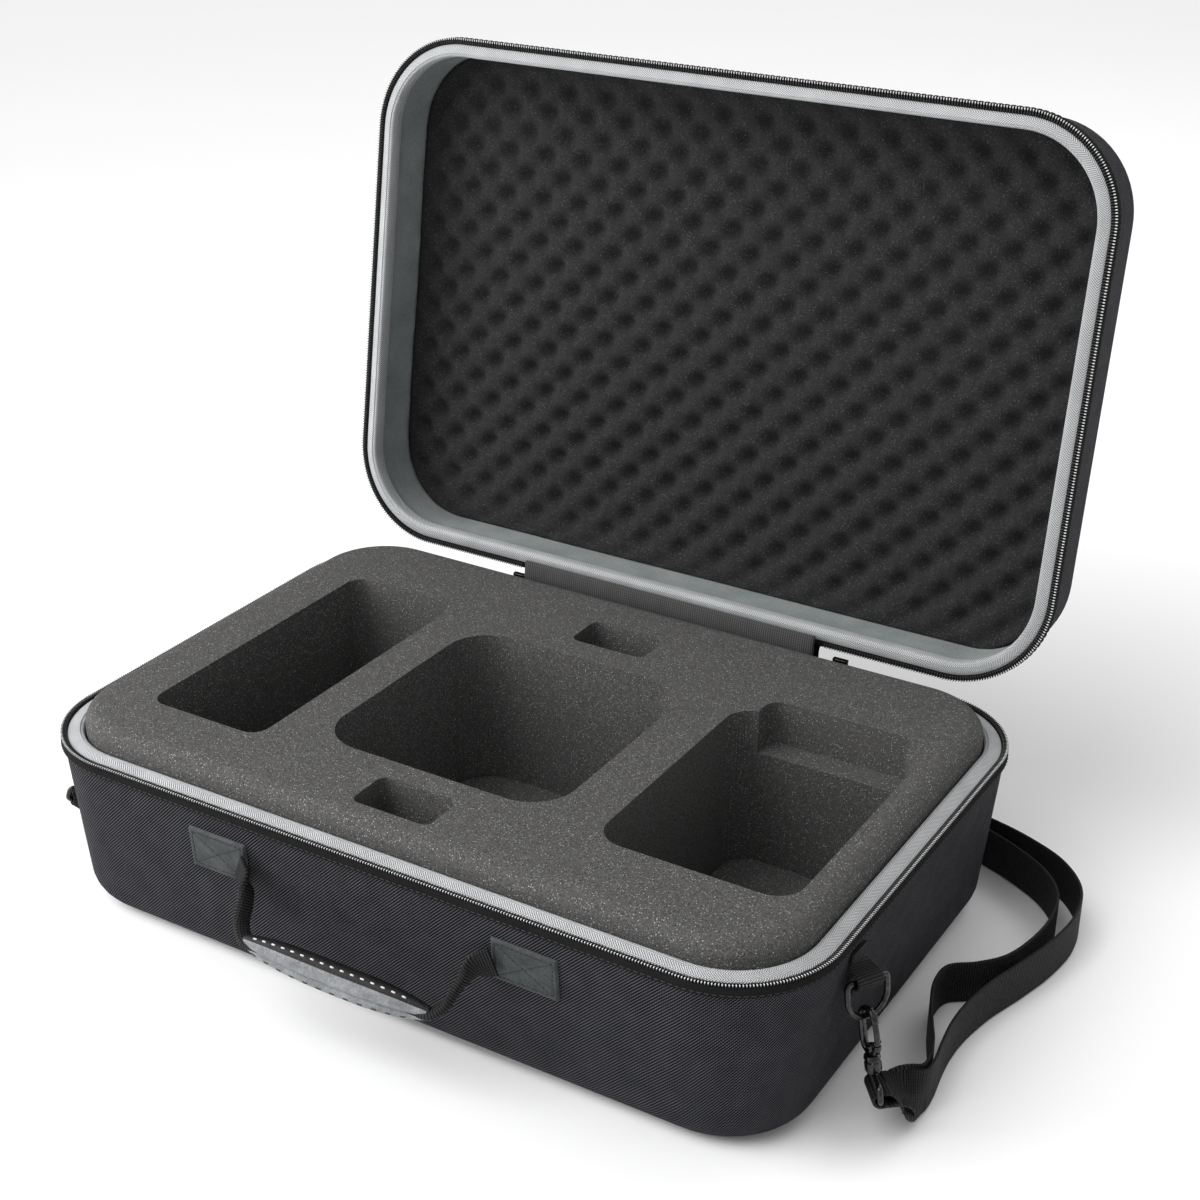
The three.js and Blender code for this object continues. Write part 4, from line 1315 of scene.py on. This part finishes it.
class StrapLine:
    """One layer of webbing: its middle line from an eye's bar to the end of its route, and the way its
    width points. layer is -1 for the layer that leaves under the bar and 1 for the one over it."""

    def __init__(self, side, route, layer):
        bar, eye_x, eye_y, eye_z = eye_bar(side)
        leave = bar + layer * BAR_CLEARANCE * eye_z
        rises = [*RISES, *[0.0] * len(route)]
        rest = [np.array([x, y, STRAP_MIDDLE + rise]) for (x, y), rise in zip(route, rises)]
        self.path = spline(np.array([leave, leave + 0.005 * eye_y, *rest]), STRAP_STEP)
        self.along = lengths(self.path)
        turn = np.clip((self.along - TWIST_START) / TWIST_LENGTH, 0, 1)
        turn = (turn * turn * (3 - 2 * turn) * math.pi / 2)[:, None]
        self.across = np.sin(turn) * np.array([0, 0, 1.0]) - np.cos(turn) * eye_x

    def stretch(self, low, high):
        chosen = (self.along >= low - 1e-6) & (self.along <= high + 1e-6)
        return self.path[chosen], self.across[chosen], float(self.along[chosen][0])

    def point(self, distance):
        return Vector([np.interp(distance, self.along, self.path[:, k]) for k in range(3)])


def strap_piece(name, line, low, high, end):
    """The webbing from low to high along its line, lapped one step under the piece before it."""
    path, across, begin = line.stretch(low - STRAP_STEP, high)
    piece = ribbon(name, path, across, WEBBING, start=begin)
    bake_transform(piece)
    return piece, path


def strap_end(name, neck_name, line):
    """A neck next to the hook, and the rest of the run beyond it."""
    end = line.point(NECK_REACH)
    neck, _ = strap_piece(
        neck_name, line, LOOP_REACH, NECK_REACH, line.point(LOOP_REACH)
    )
    total = float(line.along[-1])
    return neck, *strap_piece(name, line, NECK_REACH, total, end)


def strap_loop(side, suffix, line, under_line):
    """The turn of webbing round the eye's bar, which joins the two layers."""
    bar, eye_x, eye_y, eye_z = eye_bar(side)
    under, under_across, _ = under_line.stretch(0, LOOP_REACH)
    over, over_across, _ = line.stretch(0, LOOP_REACH)
    angles = np.linspace(0, math.pi, 12)[1:-1]
    turn = [bar + BAR_CLEARANCE * (-math.cos(a) * eye_z - math.sin(a) * eye_y) for a in angles]
    path = np.vstack([under[::-1], turn, over])
    ways = np.vstack([under_across[::-1], np.broadcast_to(-eye_x, (len(turn), 3)), over_across])
    even = resample(np.hstack([path, ways]), 0.0012)
    loop = ribbon(f"strap_loop_{suffix}", even[:, :3], even[:, 3:], WEBBING)
    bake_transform(loop)
    return loop


def add_strap():
    routes = (STRAP_ROUTE[: BACK_MIDDLE + 1], STRAP_ROUTE[BACK_MIDDLE:][::-1])
    for (side, suffix), route in zip(SIDES, routes):
        name = f"strap_run_{suffix}"
        line = StrapLine(side, route, 1)
        neck, run, path = strap_end(name, f"{name}_neck", line)
        if side > 0:
            under_line = StrapLine(side, RETURN_ROUTE, -1)
            under_neck, back, back_path = strap_end(
                "strap_return_run", "strap_return_neck", under_line
            )
            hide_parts("strap_return")
        else:
            under_line = StrapLine(side, TAIL_ROUTE, -1)
            tail_end = float(under_line.along[-1])
            tail, _ = strap_piece(
                "strap_tail_left", under_line, LOOP_REACH, tail_end,
                line.point(LOOP_REACH),
            )
        strap_loop(side, suffix, line, under_line)
        if side > 0:
            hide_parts("strap_webbing")


def add_adjuster():
    """A plain three-bar slide buckle, standing on edge where the doubled strap ends."""
    low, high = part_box("strap_adjuster")
    axes = upright((np.array(low) + np.array(high)) / 2)
    half_x = (high.x - low.x) / 2 - 0.0015
    half_z = (high.z - low.z) / 2 - 0.0015
    rim_path = placed_flat(axes, rounded_frame(half_x, -half_z, half_z, 0.003, 0.0012))
    rim = tube("rim", rim_path, (0.0017, 0.0013), METAL, (0, 1, 0), closed=True)
    bar_path = placed_flat(axes, [(0, z) for z in np.linspace(-half_z, half_z, 8)])
    bar = tube("bar", bar_path, (0.0019, 0.0012), METAL, (0, 1, 0))
    settle(join("strap_buckle", [rim, bar]), "base", "strap_adjuster")


add_strap()
add_adjuster()


# ---------- zip sliders ----------
def add_slider(suffix):
    """A slider whose arms hold a rod, and the tapered pull that hangs from it."""
    low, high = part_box(f"zip_slider_{suffix}")
    middle = (low.x + high.x) / 2
    axes = upright(np.array([middle, low.y, BASE_HEIGHT]))
    parts = [
        flat_block(name, axes, (0, y, z), block_size, bevel)
        for name, y, z, block_size, bevel in (
            ("plate", 0.0010, -0.0030, (0.0100, 0.0020, 0.0100), 0.0009),
            ("spine", 0.0020, -0.0030, (0.0040, 0.0018, 0.0080), 0.0006),
            ("lip_low", 0.0016, -0.0074, (0.0094, 0.0024, 0.0012), 0.0004),
            ("lip_high", 0.0016, 0.0014, (0.0094, 0.0024, 0.0012), 0.0004),
        )
    ]
    rod_y, rod_z = 0.0053, -0.0045
    for x in (-0.0042, 0.0042):
        arm = spline([(x, 0.0016, -0.0032), (x, 0.0040, -0.0036), (x, rod_y, rod_z)], 0.0006)
        parts.append(tube("arm", placed(axes, arm), 0.0008, METAL, (1, 0, 0), sides=10))
    rod = placed(axes, [(x, rod_y, rod_z) for x in np.linspace(-0.0046, 0.0046, 8)])
    parts.append(tube("rod", rod, 0.0008, METAL, (0, 0, 1), sides=10))
    slider = join(f"zip_slider_{suffix}_body", parts)
    settle(slider, f"slider_{suffix}", f"zip_slider_{suffix}")

    hang = np.array([middle, low.y + rod_y, BASE_HEIGHT + rod_z])
    angles = round_circle(20)
    eye = np.array([(0.0, 0.0018 * math.cos(a), 0.0018 * math.sin(a)) for a in angles])
    ring = tube("eye", eye + hang, (0.0006, 0.0023), METAL, (1, 0, 0), closed=True, sides=10)
    heights = np.linspace(-0.0022, -0.0216, 22)
    shares = np.linspace(0, 1, len(heights))
    widths = 0.0046 - 0.0012 * np.sin(math.pi * shares) ** 2 + 0.0004 * (shares > 0.85)
    line = np.array([hang + np.array([0, -0.0009, z]) for z in heights])
    tab = ribbon("tab", line, (1, 0, 0), METAL, widths, 0.0016)
    pull = join(f"zip_pull_{suffix}_tab", [ring, tab])
    settle(pull, f"pull_{suffix}", f"zip_pull_{suffix}")


for _, slider_suffix in SIDES:
    add_slider(slider_suffix)


# ---------- studio ----------
def add_area_light(name, place, target, size, power):
    """A soft oblong lamp that faces its target."""
    data = bpy.data.lights.new(name, "AREA")
    data.shape = "RECTANGLE"
    data.size, data.size_y = size
    data.energy = power
    way = Vector(target) - Vector(place)
    light = add_object(name, data)
    light.matrix_world = Matrix.Translation(place) @ way.to_track_quat("-Z", "Y").to_matrix().to_4x4()


def add_studio():
    """A pale floor in even white light, with a soft window above and lamps in front, left and behind."""
    reach = 6.0
    corners = [(-reach, -reach, 0), (reach, -reach, 0), (reach, reach, 0), (-reach, reach, 0)]
    floor = new_object("floor", corners, [(0, 1, 2, 3)], floor_look())
    world = bpy.data.worlds.new("studio")
    world.use_nodes = True
    background = world.node_tree.nodes["Background"]
    background.inputs["Color"].default_value = (1, 1, 1, 1)
    background.inputs["Strength"].default_value = 0.6
    scene = bpy.context.scene
    scene.world = world
    scene.view_settings.view_transform = "Standard"
    sun = bpy.data.lights.new("window", "SUN")
    sun.energy = 1.35
    sun.angle = math.radians(50)
    window = add_object("window", sun)
    window.rotation_euler = (math.radians(28), math.radians(-24), 0)
    add_area_light("key", (-0.9, -1.2, 1.7), (0, 0, 0.1), (1.2, 1.0), 10)
    add_area_light("side", (-0.95, -0.7, 0.5), (-0.15, -0.1, 0.1), (0.8, 0.6), 9)
    add_area_light("rim", (0.5, 1.6, 1.6), (0, 0, 0.2), (1.6, 0.8), 8)


add_studio()
